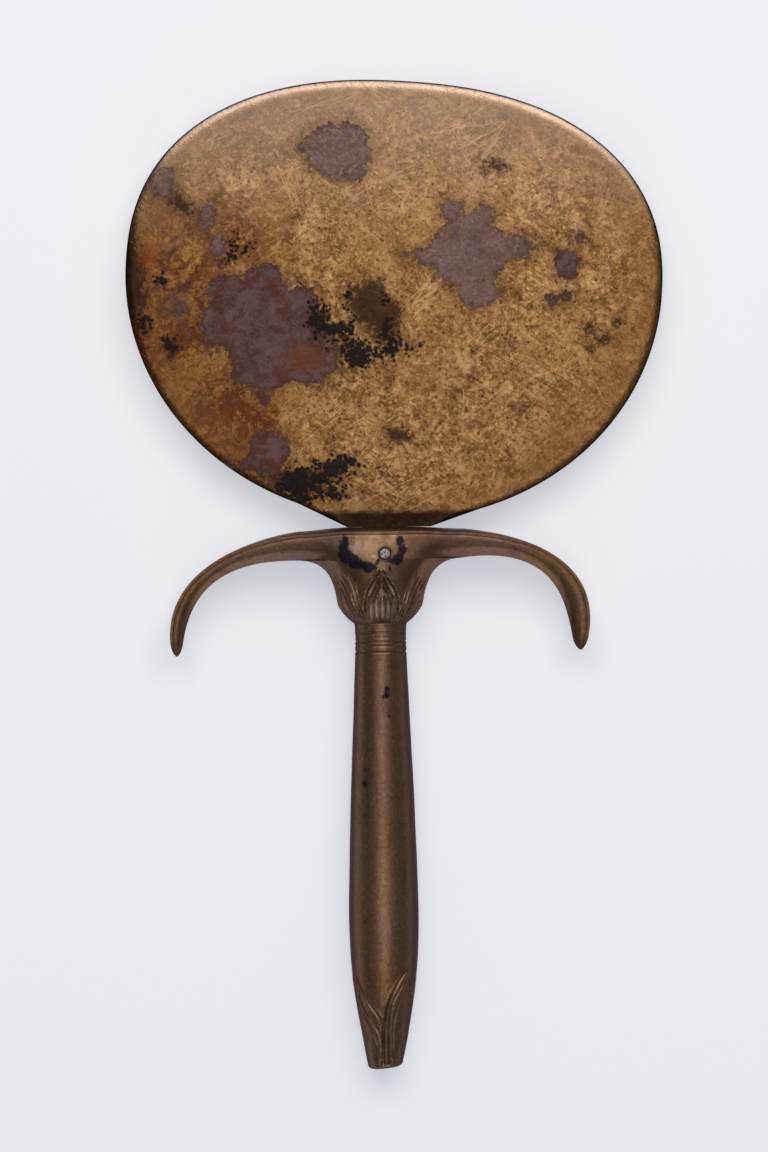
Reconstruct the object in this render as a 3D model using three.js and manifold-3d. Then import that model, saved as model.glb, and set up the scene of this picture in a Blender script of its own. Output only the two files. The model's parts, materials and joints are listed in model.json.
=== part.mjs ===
// Bronze hand mirror in the ancient Egyptian manner. A broad cast disk has a tang that is set into
// a cast handle shaped as a papyrus stem, with a leafy foot, a ringed neck, a calyx of sepals and
// an umbel whose two arms droop to blunt points. One rivet holds the tang.
//
// Millimetres. Each piece is modelled in the handle's own frame: X across, Y along the stem towards
// the disk, Z out of the mirror's face, with the origin at the top of the umbel on the stem's axis.
// The group then lays the mirror on its back, and its origin is the middle of its footprint.
import * as THREE from "three";
import { mergeVertices } from "three/addons/utils/BufferGeometryUtils.js";
import Module from "manifold-3d";

const wasm = await Module();
wasm.setup();

// ---- Driving dimensions ----

// The disk is two half superellipses on one wide axis, set off the stem and turned a little.
const DISK = {
  centre: new THREE.Vector2(4.2, 60.35),
  turn: THREE.MathUtils.degToRad(-4.16),
  halfWidth: 65.2,
  upper: { height: 47.8, power: 2.32 },
  lower: { height: 58.8, power: 2.01 },
  thickness: 1.9,
  rimThickness: 0.9, // the plate thins to this at its edge
  bevel: 2.1, // width of the band over which it thins
  steps: 112,
};

// The tang leaves the disk by sloping shoulders that stop just over the umbel.
const TANG = {
  shoulderLeft: -7.75,
  shoulderRight: 12.4,
  shoulderY: 0.3,
  halfWidth: 5.6,
  length: 13,
  tangency: 12, // how far each shoulder runs along the disk before it leaves the curve
};

// The stem's half-width at stations up its length.
const STEM = {
  profile: [
    [-131.3, 3.8],
    [-130.7, 4.2],
    [-118.7, 6.4],
    [-111, 7.55],
    [-103.2, 8.25],
    [-93.5, 8.47],
    [-68.2, 7.8],
    [-37.1, 6.4],
    [-26.5, 5.92],
  ],
  footSlant: 0.1, // rise of the foot's end across the stem
  leafTop: -105,
  carvedSides: 60,
  plainSides: 30,
};

// Rings cut round the neck, each a shallow groove.
const NECK = {
  grooves: [-22.9, -25.7, -27.8, -30.1],
  grooveDepth: 0.35,
  grooveHalf: 0.5,
};

// The calyx swells above the neck and flares into the undersides of the arms. Its bowl is given
// as half-widths and half-depths at stations from the neck up.
const CALYX = {
  widths: [
    [-24.2, 6.2],
    [-22.6, 7.2],
    [-20.6, 9.05],
    [-19.2, 9.95],
    [-17.7, 10.4],
  ],
  depths: [
    [-24.2, 6.2],
    [-22.6, 6.9],
    [-20.6, 8.2],
    [-17.7, 9.4],
    [-1.6, 10.1],
  ],
  topWidth: 20,
  top: -1.6,
  narrowHalfAngle: 26, // degrees, at the base of the front and back sepals
  broadHalfAngle: 62, // degrees, at the base of the side sepals
  apex: -7.5,
  ribPitch: 12, // degrees from one rib to the next
  relief: 0.5,
  ribDepth: 0.4,
};

// Leaves round the foot: each has its middle angle from the front and the height of its tip.
const LEAVES = {
  all: [
    { middle: -70, tip: -107.5 },
    { middle: 57, tip: -105.5 },
    { middle: 174, tip: -107 },
  ],
  join: -120.5, // where neighbours meet
  halfAngle: 62,
  relief: 0.35,
  edge: 6, // degrees over which a leaf rises to its full relief
  veinDepth: 0.3,
  veinHalf: 6,
};

// The umbel: its lip seen from the front, and the arms' undersides, as cubic curves from the root
// to the tip. The two arms are not quite alike.
const ARMS = {
  left: {
    rim: [-14.2, -0.25, -27.4, -1.0, -55.0, -8.1, -50.1, -31.0],
    under: [-19.1, -8.0, -47.3, -6.8, -47.4, -25.1, -49.9, -31.2],
    flare: [-19.1, -8.0, -13.2, -8.2, -11.0, -12.6, -10.4, -17.7],
  },
  right: {
    rim: [14.9, -0.15, 30.4, -0.9, 56.5, -5.6, 49.0, -30.4],
    under: [19.7, -7.7, 47.0, -3.9, 45.2, -24.7, 48.7, -30.6],
    flare: [19.7, -7.7, 13.4, -7.9, 11.0, -12.8, 10.4, -17.7],
  },
  rootShare: 0.1, // share of the rim curve that lies over the flare
  stations: 20,
  flareStations: 7,
};

const UMBEL = {
  halfDepth: 10.6,
  tipDepth: 1.7,
  depthPower: 1.5,
  lipDrop: 0.9, // the lip's middle sits this far below the crown
  crownHalfLength: 37, // the crown fades out this far from the axis
  lipHeight: 0.8,
  lipRelief: 0.3,
  coreY: -24, // how deep the umbel's middle reaches inside the calyx
  arcSteps: 5,
  crownSteps: 4,
};

const RIVET = { x: 1.25, y: -6.3, radius: 1.4, sides: 20, dome: 0.15 };
const GAP = 0.3; // clearance kept between neighbouring pieces
const BACK_FLAT = 0.4; // how much is dressed off the umbel's back, so that it doesn't roll

// ---- Helpers ----

const FOOT_Y = STEM.profile[0][0];
const smooth = THREE.MathUtils.smoothstep;
const lerp = THREE.MathUtils.lerp;

// A smooth curve value at x through [x, value] pairs in rising order of x.
function valueAt(pairs, x) {
  const last = pairs.length - 1;
  if (x <= pairs[0][0]) return pairs[0][1];
  if (x >= pairs[last][0]) return pairs[last][1];
  const i = pairs.findIndex((pair) => pair[0] > x) - 1;
  const slope = (k) => {
    const a = pairs[Math.max(k - 1, 0)];
    const b = pairs[Math.min(k + 1, last)];
    return (b[1] - a[1]) / (b[0] - a[0]);
  };
  const [x0, y0] = pairs[i];
  const [x1, y1] = pairs[i + 1];
  const h = x1 - x0;
  const t = (x - x0) / h;
  const rise = y0 * (1 + 2 * t) * (1 - t) ** 2 + y1 * t * t * (3 - 2 * t);
  return rise + h * (slope(i) * t * (1 - t) ** 2 - slope(i + 1) * t * t * (1 - t));
}

function cubic(c) {
  const points = [0, 2, 4, 6].map((i) => new THREE.Vector2(c[i], c[i + 1]));
  return new THREE.CubicBezierCurve(...points);
}

// Skins a run of closed loops and closes both ends with a fan. Neighbouring loops hold the same
// number of points, or one holds twice as many as the other.
function loft(loops) {
  const vertices = [];
  const faces = [];
  const starts = loops.map((loop) => {
    const start = vertices.length;
    vertices.push(...loop);
    return start;
  });
  const band = (a, b) => {
    const n = loops[a].length;
    const m = loops[b].length;
    const A = (i) => starts[a] + (i % n);
    const B = (i) => starts[b] + (i % m);
    if (n === m) {
      for (let i = 0; i < n; i++) faces.push([A(i), A(i + 1), B(i + 1)], [A(i), B(i + 1), B(i)]);
      return;
    }
    for (let i = 0; i < Math.min(n, m); i++) {
      if (n > m) {
        faces.push([A(2 * i), A(2 * i + 1), B(i)], [A(2 * i + 1), B(i + 1), B(i)]);
        faces.push([A(2 * i + 1), A(2 * i + 2), B(i + 1)]);
      } else {
        faces.push([A(i), B(2 * i + 1), B(2 * i)], [A(i), A(i + 1), B(2 * i + 1)]);
        faces.push([A(i + 1), B(2 * i + 2), B(2 * i + 1)]);
      }
    }
  };
  for (let k = 0; k + 1 < loops.length; k++) band(k, k + 1);
  const cap = (k, flip) => {
    const n = loops[k].length;
    const middle = loops[k].reduce((sum, p) => sum.add(p), new THREE.Vector3()).divideScalar(n);
    const hub = vertices.push(middle) - 1;
    for (let i = 0; i < n; i++) {
      const a = starts[k] + i;
      const b = starts[k] + ((i + 1) % n);
      faces.push(flip ? [hub, b, a] : [hub, a, b]);
    }
  };
  cap(0, true);
  cap(loops.length - 1, false);
  return closedGeometry(vertices, faces);
}

// Builds a closed geometry and turns it the right way out.
function closedGeometry(vertices, faces) {
  const volume = faces.reduce((sum, [a, b, c]) => {
    const cross = new THREE.Vector3().crossVectors(vertices[b], vertices[c]);
    return sum + vertices[a].dot(cross);
  }, 0);
  const index = faces.flatMap(([a, b, c]) => (volume > 0 ? [a, b, c] : [a, c, b]));
  const geometry = new THREE.BufferGeometry().setFromPoints(vertices);
  return geometry.setIndex(index);
}

function solid(geometry) {
  const bare = geometry.clone().deleteAttribute("normal").deleteAttribute("uv");
  const merged = mergeVertices(bare, 1e-4);
  const mesh = { numProp: 3, vertProperties: merged.attributes.position.array };
  return new wasm.Manifold(new wasm.Mesh({ ...mesh, triVerts: new Uint32Array(merged.index.array) }));
}

function geometryOf(made) {
  const { vertProperties, triVerts } = made.getMesh();
  const geometry = new THREE.BufferGeometry();
  geometry.setAttribute("position", new THREE.BufferAttribute(vertProperties, 3));
  return geometry.setIndex(new THREE.BufferAttribute(triVerts, 1));
}

function block(from, to) {
  const size = to.clone().sub(from);
  const middle = from.clone().add(to).multiplyScalar(0.5);
  return new THREE.BoxGeometry(size.x, size.y, size.z).translate(middle.x, middle.y, middle.z);
}

function pin(radius, back, front) {
  const geometry = new THREE.CylinderGeometry(radius, radius, front - back, RIVET.sides);
  return geometry.rotateX(Math.PI / 2).translate(RIVET.x, RIVET.y, (front + back) / 2);
}

// ---- Mirror disk ----

// The disk's outline with the shoulders and tang, as points that run once round the plate.
function diskOutline() {
  const { centre, turn, halfWidth, upper, lower, steps } = DISK;
  const points = [];
  const rim = (angle) => {
    const half = Math.sin(angle) >= 0 ? upper : lower;
    const swelled = (v) => Math.sign(v) * Math.abs(v) ** (2 / half.power);
    const p = new THREE.Vector2(halfWidth * swelled(Math.cos(angle)), half.height * swelled(Math.sin(angle)));
    return p.rotateAround(new THREE.Vector2(), turn).add(centre);
  };
  const { shoulderLeft, shoulderRight, shoulderY, halfWidth: tang, length, tangency } = TANG;
  for (let i = 0; i < steps; i++) {
    const p = rim(-Math.PI / 2 + (2 * Math.PI * i) / steps);
    const hidden = p.y < centre.y && p.x > shoulderLeft - tangency && p.x < shoulderRight + tangency;
    if (!hidden) points.push(p);
  }
  points.push(new THREE.Vector2(shoulderLeft, shoulderY));
  points.push(new THREE.Vector2(RIVET.x - tang, shoulderY), new THREE.Vector2(RIVET.x - tang, -length));
  points.push(new THREE.Vector2(RIVET.x + tang, -length), new THREE.Vector2(RIVET.x + tang, shoulderY));
  points.push(new THREE.Vector2(shoulderRight, shoulderY));
  return points;
}

// The outline drawn in by a distance. The tang keeps its width, because only the plate is bevelled.
function drawnIn(outline, distance, z) {
  const n = outline.length;
  return outline.map((p, i) => {
    const along = outline[(i + 1) % n].clone().sub(outline[(i + n - 1) % n]).normalize();
    const share = smooth(p.y, TANG.shoulderY, TANG.shoulderY + 4);
    return new THREE.Vector3(p.x - along.y * distance * share, p.y + along.x * distance * share, z);
  });
}

function mirrorDisk() {
  const outline = diskOutline();
  const half = DISK.thickness / 2;
  const rim = DISK.rimThickness / 2;
  const plate = loft([
    drawnIn(outline, DISK.bevel, -half),
    drawnIn(outline, DISK.bevel * 0.4, -lerp(rim, half, 0.6)),
    drawnIn(outline, 0, -rim),
    drawnIn(outline, 0, rim),
    drawnIn(outline, DISK.bevel * 0.4, lerp(rim, half, 0.6)),
    drawnIn(outline, DISK.bevel, half),
  ]);
  return geometryOf(solid(plate).subtract(solid(pin(RIVET.radius + GAP, -half - 1, half + 1))));
}

// ---- Handle: stem, neck and calyx ----

// How deep the carving is cut at an angle in degrees from the front and a height.
function leafCarving(angle, y) {
  let cut = 0;
  for (const leaf of LEAVES.all) {
    const open = THREE.MathUtils.clamp((leaf.tip - y) / (leaf.tip - LEAVES.join), 0, 1);
    const half = LEAVES.halfAngle * Math.sqrt(open);
    const away = Math.abs(THREE.MathUtils.euclideanModulo(angle - leaf.middle + 180, 360) - 180);
    const inside = 1 - smooth(away, half - LEAVES.edge, half);
    const vein = (1 - smooth(away, 0, LEAVES.veinHalf)) * LEAVES.veinDepth;
    cut = Math.max(cut, y < leaf.tip ? inside * (LEAVES.relief - vein) : 0);
  }
  return -cut * smooth(y, FOOT_Y, FOOT_Y + 3);
}

function ringCarving(y) {
  const { grooves, grooveDepth, grooveHalf } = NECK;
  const nearest = Math.min(...grooves.map((g) => Math.abs(y - g)));
  return grooveDepth * (1 - smooth(nearest, 0, grooveHalf));
}

// Sepals stand out from the calyx, each pointed at the top and ribbed to its base. Those on the
// front and back are narrow, and those on the sides are broad.
function sepalCarving(angle, y) {
  const { narrowHalfAngle, broadHalfAngle, apex, ribPitch, relief, ribDepth } = CALYX;
  const base = NECK.grooves[0];
  const fromFace = Math.abs(THREE.MathUtils.euclideanModulo(angle + 90, 180) - 90);
  const open = THREE.MathUtils.clamp((apex - y) / (apex - base), 0, 1);
  const cover = (away, half) => 1 - smooth(away, half * 0.85, half);
  const narrow = cover(fromFace, narrowHalfAngle * Math.sqrt(open));
  const broad = cover(90 - fromFace, broadHalfAngle * Math.sqrt(open));
  const inside = open > 0 ? Math.max(narrow, broad) : 0;
  const wave = 0.5 - 0.5 * Math.cos((2 * Math.PI * fromFace) / ribPitch);
  const fade = smooth(open, 0.1, 0.5) * (1 - smooth(open, 0.93, 1));
  return -inside * fade * (relief - ribDepth * wave);
}

// Half-width of the handle's column on one side, the flare under the arm included.
function columnHalfWidth(y, side) {
  const widest = CALYX.widths[CALYX.widths.length - 1];
  if (y <= widest[0]) return valueAt([...STEM.profile, ...CALYX.widths], y);
  const passed = cubic(side.flare).getPoints(100).reverse().find((p) => p.y >= y);
  return passed ? Math.abs(passed.x) : CALYX.topWidth;
}

function columnHalfDepth(y) {
  return valueAt([...STEM.profile, ...CALYX.depths], y);
}

function columnLoop({ y, sides }) {
  const depth = columnHalfDepth(y);
  const left = columnHalfWidth(y, ARMS.left);
  const right = columnHalfWidth(y, ARMS.right);
  const slant = STEM.footSlant * (1 - smooth(y, FOOT_Y, FOOT_Y + 6));
  return Array.from({ length: sides }, (_, i) => {
    const angle = (360 * i) / sides;
    const turn = THREE.MathUtils.degToRad(angle);
    const width = Math.sin(turn) > 0 ? right : left;
    const round = 1 / Math.hypot(Math.sin(turn) / width, Math.cos(turn) / depth);
    const radius = round - leafCarving(angle, y) - ringCarving(y) - sepalCarving(angle, y);
    const x = radius * Math.sin(turn);
    return new THREE.Vector3(x, y + slant * x, radius * Math.cos(turn));
  });
}

// Heights of the column's loops, close together where it is carved.
function columnRows() {
  const { leafTop, carvedSides: fine, plainSides: plain } = STEM;
  const rows = [FOOT_Y, FOOT_Y + 0.6].map((y) => ({ y, sides: fine }));
  const run = (from, to, count, sides) => {
    for (let i = 0; i < count; i++) rows.push({ y: lerp(from, to, i / count), sides });
  };
  run(FOOT_Y + 2, leafTop + 1.2, 17, fine);
  const lowestGroove = Math.min(...NECK.grooves);
  run(leafTop + 3, lowestGroove - 2, 11, plain);
  for (const g of [...NECK.grooves].reverse()) {
    for (const step of [-1, 0, 1]) rows.push({ y: g + step * NECK.grooveHalf, sides: plain });
  }
  run(NECK.grooves[0] + 1.1, CALYX.apex, 14, fine);
  run(CALYX.apex, CALYX.top, 3, plain);
  rows.push({ y: CALYX.top, sides: plain });
  return rows;
}

// ---- Handle: umbel and arms ----

// One section of the umbel: a crowned top, a lip, and faces that round under to a ridge.
function umbelLoop(rim, under, depth, crown) {
  const { lipHeight, lipRelief, arcSteps, crownSteps } = UMBEL;
  const down = under.clone().sub(rim);
  const height = down.length();
  down.normalize();
  const lip = Math.min(lipHeight, height * 0.25);
  const relief = lipRelief * Math.min(1, depth / UMBEL.halfDepth + 0.2);
  const front = [[0, depth], [lip, depth], [lip * 1.15, depth - relief]];
  for (let i = 1; i <= arcSteps; i++) {
    const turn = (Math.PI / 2) * (i / arcSteps);
    front.push([lerp(lip * 1.15, height, Math.sin(turn)), (depth - relief) * Math.cos(turn)]);
  }
  const back = front.slice(0, -1).reverse().map(([h, z]) => [h, -z]);
  const top = Array.from({ length: crownSteps - 1 }, (_, i) => {
    const share = (2 * (i + 1)) / crownSteps - 1;
    return [-crown * (1 - share * share), depth * share];
  });
  return [...front, ...back, ...top].map(
    ([h, z]) => new THREE.Vector3(rim.x + down.x * h, rim.y + down.y * h, z),
  );
}

// Sections from the tip of one arm to the middle of the umbel.
function armLoops(arm) {
  const rim = cubic(arm.rim);
  const under = cubic(arm.under);
  const flare = cubic(arm.flare);
  const length = rim.getLength() + Math.abs(arm.rim[0]);
  const section = (rimPoint, underPoint, run) => {
    const share = run / length;
    const blunt = Math.sqrt(Math.max(0, 1 - Math.max(0, (share - 0.94) / 0.06) ** 2));
    const taper = 1 - (1 - UMBEL.tipDepth / UMBEL.halfDepth) * share ** UMBEL.depthPower;
    const crown = UMBEL.lipDrop * Math.max(0, 1 - (rimPoint.x / UMBEL.crownHalfLength) ** 2);
    const lip = rimPoint.clone().setY(rimPoint.y - crown);
    return umbelLoop(lip, underPoint, UMBEL.halfDepth * taper * Math.max(blunt, 0.3), crown);
  };
  const runTo = (u) => Math.abs(arm.rim[0]) + u * rim.getLength();
  const loops = [];
  for (let i = 0; i < ARMS.stations; i++) {
    const u = 0.985 - (0.985 * i) / ARMS.stations;
    const v = ARMS.rootShare + (1 - ARMS.rootShare) * u;
    loops.push(section(rim.getPointAt(v), under.getPointAt(u), runTo(v)));
  }
  for (let i = 0; i < ARMS.flareStations; i++) {
    const t = i / ARMS.flareStations;
    const start = rim.getPointAt(ARMS.rootShare);
    const rimPoint = new THREE.Vector2(lerp(start.x, start.x * 0.3, t), lerp(start.y, 0, smooth(t, 0, 0.6)));
    loops.push(section(rimPoint, flare.getPointAt(t), Math.abs(rimPoint.x)));
  }
  return loops;
}

function umbelSolid() {
  const middle = umbelLoop(
    new THREE.Vector2(0, -UMBEL.lipDrop),
    new THREE.Vector2(0, UMBEL.coreY),
    UMBEL.halfDepth,
    UMBEL.lipDrop,
  );
  return solid(loft([...armLoops(ARMS.left), middle, ...armLoops(ARMS.right).reverse()]));
}

// ---- How the mirror lies ----

// Lying on its back, the handle rests on the umbel and on the swell of the stem. This is the slope
// from one to the other.
const backDepth = UMBEL.halfDepth - BACK_FLAT;
const stemRows = columnRows().filter((row) => row.y < Math.min(...NECK.grooves));
const restSlope = Math.min(
  ...stemRows.map(({ y }) => (backDepth - columnHalfDepth(y)) / (-UMBEL.lipDrop - y)),
);
const layTilt = Math.atan(restSlope);

// The block under the plane on which the mirror lies, used to dress the umbel's back flat.
function underRest() {
  const reach = 60;
  const slab = block(new THREE.Vector3(-reach, -reach / 2, -reach), new THREE.Vector3(reach, reach, 0));
  return slab.rotateX(-layTilt).translate(0, -UMBEL.lipDrop, -backDepth);
}

function handle() {
  const column = solid(loft(columnRows().map(columnLoop)));
  const half = DISK.thickness / 2 + GAP;
  const side = TANG.halfWidth + GAP;
  const slot = block(
    new THREE.Vector3(RIVET.x - side, -TANG.length - GAP, -half),
    new THREE.Vector3(RIVET.x + side, 5, half),
  );
  const rivetHole = pin(RIVET.radius + GAP, -UMBEL.halfDepth - 2, UMBEL.halfDepth + 2);
  const cast = column.add(umbelSolid()).subtract(solid(slot)).subtract(solid(rivetHole));
  return geometryOf(cast.subtract(solid(underRest())));
}

// ---- Rivet ----

function rivet() {
  const front = columnHalfDepth(RIVET.y) + 0.1;
  const back = -(backDepth + restSlope * (RIVET.y + UMBEL.lipDrop)) + 0.15;
  const edge = RIVET.radius * 0.75;
  const outline = [
    [0, back],
    [edge, back],
    [RIVET.radius, back + RIVET.dome],
    [RIVET.radius, front - RIVET.dome],
    [edge, front],
    [0, front],
  ].map(([r, z]) => new THREE.Vector2(r, z));
  const turned = new THREE.LatheGeometry(outline, RIVET.sides).rotateX(Math.PI / 2);
  return geometryOf(solid(turned.translate(RIVET.x, RIVET.y, 0)));
}

// ---- Assembly ----

function piece(name, geometry, color, roughness) {
  const material = new THREE.MeshStandardMaterial({ color, roughness, metalness: 0.9 });
  const mesh = new THREE.Mesh(geometry, material);
  mesh.name = name;
  return mesh;
}

const mirror = new THREE.Group();
mirror.add(piece("mirror_disk", mirrorDisk(), 0xa07c4a, 0.45));
mirror.add(piece("handle", handle(), 0x5a4230, 0.4));
mirror.add(piece("rivet", rivet(), 0xa9a49c, 0.6));
mirror.rotation.x = layTilt;
mirror.updateMatrixWorld(true);

// The origin goes to the middle of the footprint, on the surface the mirror lies on.
const box = new THREE.Box3().setFromObject(mirror, true);
const middle = box.getCenter(new THREE.Vector3());
mirror.position.set(-middle.x, -middle.y, -box.min.z);

export default mirror;
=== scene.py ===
"""Bronze hand mirror: a broad cast disk with patina, on a handle shaped as a papyrus stem.

Lengths inside the classes are millimetres in the handle's own frame: X across, Y along the stem
towards the disk, Z out of the mirror's face, origin at the top of the umbel on the stem's axis.
``Lay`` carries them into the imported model's frame, in metres, where the mirror lies on its back.
"""

import json
import logging
import math
from dataclasses import dataclass, replace
from enum import Enum
from typing import Sequence, Union

import bpy
import numpy as np
from mathutils import Matrix, Vector, noise


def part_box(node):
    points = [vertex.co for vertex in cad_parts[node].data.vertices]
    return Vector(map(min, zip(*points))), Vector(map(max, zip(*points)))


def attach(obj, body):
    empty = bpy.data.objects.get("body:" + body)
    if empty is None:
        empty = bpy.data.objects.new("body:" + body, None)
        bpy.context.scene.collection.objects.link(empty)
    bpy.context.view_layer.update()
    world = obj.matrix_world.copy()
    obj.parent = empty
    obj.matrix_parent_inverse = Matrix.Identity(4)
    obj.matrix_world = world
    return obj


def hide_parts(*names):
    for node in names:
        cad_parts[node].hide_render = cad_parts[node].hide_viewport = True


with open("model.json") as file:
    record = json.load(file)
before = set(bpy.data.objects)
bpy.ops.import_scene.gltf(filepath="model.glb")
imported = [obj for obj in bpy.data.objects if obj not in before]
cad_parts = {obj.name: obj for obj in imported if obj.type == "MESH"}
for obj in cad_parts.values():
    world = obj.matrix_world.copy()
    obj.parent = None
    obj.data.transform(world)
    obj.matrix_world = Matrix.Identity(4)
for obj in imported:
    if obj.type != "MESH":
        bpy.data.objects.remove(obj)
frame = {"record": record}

LOG = logging.getLogger("bronze_mirror")
MM = 0.001
CURVE_STEPS = 400
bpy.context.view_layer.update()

Array = np.ndarray
Pairs = Sequence[tuple[float, float]]
Piece = bpy.types.Object
Socket = bpy.types.NodeSocket
Color = tuple[float, float, float, float]
Value = Union[Socket, float, tuple]


# ---- Numbers and curves ----


def smoothstep(low: float, high: float, x: Array) -> Array:
    """Rise smoothly from 0 at ``low`` to 1 at ``high``.

    Args:
        low: Where the rise starts.
        high: Where it ends. It may lie below ``low``, for a fall.
        x: The values to ease.

    Returns:
        Values from 0 to 1.
    """
    t = np.clip((np.asarray(x, float) - low) / (high - low), 0, 1)
    return t * t * (3 - 2 * t)


def along(pairs: Pairs, x: Array) -> Array:
    """Smooth curve value at ``x`` through (x, value) pairs.

    Args:
        pairs: Points of the curve, x rising.
        x: Where to read it.

    Returns:
        The curve's values, held level past both ends.
    """
    xs, ys = np.array(pairs, float).T
    slopes = np.empty_like(ys)
    slopes[1:-1] = (ys[2:] - ys[:-2]) / (xs[2:] - xs[:-2])
    slopes[0] = (ys[1] - ys[0]) / (xs[1] - xs[0])
    slopes[-1] = (ys[-1] - ys[-2]) / (xs[-1] - xs[-2])
    x = np.clip(np.asarray(x, float), xs[0], xs[-1])
    i = np.clip(np.searchsorted(xs, x) - 1, 0, len(xs) - 2)
    h = xs[i + 1] - xs[i]
    t = (x - xs[i]) / h
    rise = ys[i] * (1 + 2 * t) * (1 - t) ** 2 + ys[i + 1] * t * t * (3 - 2 * t)
    return rise + h * (slopes[i] * t * (1 - t) ** 2 - slopes[i + 1] * t * t * (1 - t))


def soft_max(a: Array, b: Array, blend: Array) -> Array:
    """The larger of two values, rounded where they are nearly the same.

    Args:
        a: One value.
        b: The other.
        blend: How near they are where the rounding starts.

    Returns:
        The blended values.
    """
    mix = np.clip(0.5 + 0.5 * (a - b) / np.maximum(blend, 1e-6), 0, 1)
    return b + (a - b) * mix + blend * mix * (1 - mix)


def line_groove(distance: Array, half: float) -> Array:
    """A rounded groove: 1 on its line, 0 at ``half`` from it and beyond."""
    return 1 - smoothstep(0, half, np.abs(distance))


def points_at(curve: Array, shares: Array) -> Array:
    """Points at shares of a dense polyline's length.

    Args:
        curve: The polyline, one point in a row.
        shares: Values from 0 to 1.

    Returns:
        One point for each share.
    """
    run = np.concatenate([[0], np.cumsum(np.linalg.norm(np.diff(curve, axis=0), axis=1))])
    want = np.asarray(shares) * run[-1]
    return np.stack([np.interp(want, run, column) for column in curve.T], axis=-1)


def bezier(corners: Sequence[tuple[float, float]]) -> Array:
    """A dense polyline along the cubic Bezier curve with four control points."""
    a, b, c, d = np.array(corners, float)
    t = np.linspace(0, 1, CURVE_STEPS)[:, None]
    return a * (1 - t) ** 3 + 3 * b * t * (1 - t) ** 2 + 3 * c * t * t * (1 - t) + d * t**3


def rough(points: Array, scale: float, seed: float = 0) -> Array:
    """Smooth random values, about -1 to 1, that change over ``1 / scale`` millimetres.

    Args:
        points: Where to read them, with a last axis of three coordinates.
        scale: How quickly they change.
        seed: Shift that gives another pattern.

    Returns:
        One value for each point.
    """
    shift = Vector((seed * 7.3, seed * 3.1, seed * 5.7))
    values = [noise.noise(Vector(p) * scale + shift) for p in points.reshape(-1, 3)]
    return np.array(values).reshape(points.shape[:-1])


# ---- Placing ----


@dataclass(frozen=True)
class Lay:
    """How the mirror lies: tilt and shift from the handle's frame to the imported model's."""

    tilt: float
    shift: tuple[float, float, float]

    @staticmethod
    def from_frame(mount_point: tuple[float, float, float]) -> "Lay":
        """Read the lie from the mount on the disk's flat back.

        Args:
            mount_point: The mount's place in the handle's frame, in millimetres.

        Returns:
            The lie of the mirror.
        """
        mount = next(m for m in frame["record"]["mounts"] if m["name"] == "disk_back")
        _, level, out = mount["axis"]
        tilt = math.atan2(level, -out)
        turned = Matrix.Rotation(tilt, 3, "X") @ (Vector(mount_point) * MM)
        return Lay(tilt, tuple(Vector(mount["pos_m"]) - turned))

    def apply(self, points: Array) -> Array:
        """Carry points from the handle's frame, in millimetres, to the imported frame, in metres."""
        turn = np.array(Matrix.Rotation(self.tilt, 3, "X"))
        return (np.asarray(points, float) * MM) @ turn.T + np.array(self.shift)

    def undo(self, points: Array) -> Array:
        """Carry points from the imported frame, in metres, back to the handle's, in millimetres."""
        turn = np.array(Matrix.Rotation(self.tilt, 3, "X"))
        return ((np.asarray(points, float) - np.array(self.shift)) @ turn) / MM


# ---- Meshes ----


def mesh_object(name: str, vertices: Array, faces: Sequence[Sequence[int]]) -> Piece:
    """Make an object from vertices and faces, and link it to the scene.

    Args:
        name: The object's name.
        vertices: Its points.
        faces: Indices of each face's corners.

    Returns:
        The object.
    """
    mesh = bpy.data.meshes.new(name)
    mesh.from_pydata([tuple(v) for v in vertices], [], [tuple(f) for f in faces])
    mesh.validate()
    piece = bpy.data.objects.new(name, mesh)
    bpy.context.scene.collection.objects.link(piece)
    return piece


def loops_mesh(name: str, loops: Array) -> Piece:
    """Skin a stack of closed loops and close both ends.

    Args:
        name: The object's name.
        loops: Stations by points by three coordinates.

    Returns:
        A closed object whose faces point outwards.
    """
    stations, count, _ = loops.shape
    index = np.arange(stations * count).reshape(stations, count)
    low, high = index[:-1], index[1:]
    quads = np.stack([low, np.roll(low, -1, 1), np.roll(high, -1, 1), high], axis=-1)
    vertices = [*loops.reshape(-1, 3), loops[0].mean(0), loops[-1].mean(0)]
    first, last = stations * count, stations * count + 1
    faces = [list(q) for q in quads.reshape(-1, 4)]
    for i in range(count):
        after = (i + 1) % count
        faces.append([first, index[0, after], index[0, i]])
        faces.append([last, index[-1, i], index[-1, after]])
    piece = mesh_object(name, np.array(vertices), faces)
    if signed_volume(piece.data) < 0:
        piece.data.flip_normals()
    return piece


def signed_volume(mesh: bpy.types.Mesh) -> float:
    """Six times the volume inside a mesh, negative where its faces point inwards."""
    mesh.calc_loop_triangles()
    triangles = np.empty(len(mesh.loop_triangles) * 3, np.int32)
    mesh.loop_triangles.foreach_get("vertices", triangles)
    a, b, c = vertex_values(mesh)[triangles.reshape(-1, 3)].transpose(1, 0, 2)
    return float(np.einsum("ij,ij->", a, np.cross(b, c)))


def vertex_values(mesh: bpy.types.Mesh, kind: str = "co") -> Array:
    """A mesh's vertex places, or its normals with ``normal``, as rows of three."""
    values = np.empty(len(mesh.vertices) * 3)
    mesh.vertices.foreach_get(kind, values)
    return values.reshape(-1, 3)


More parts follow.
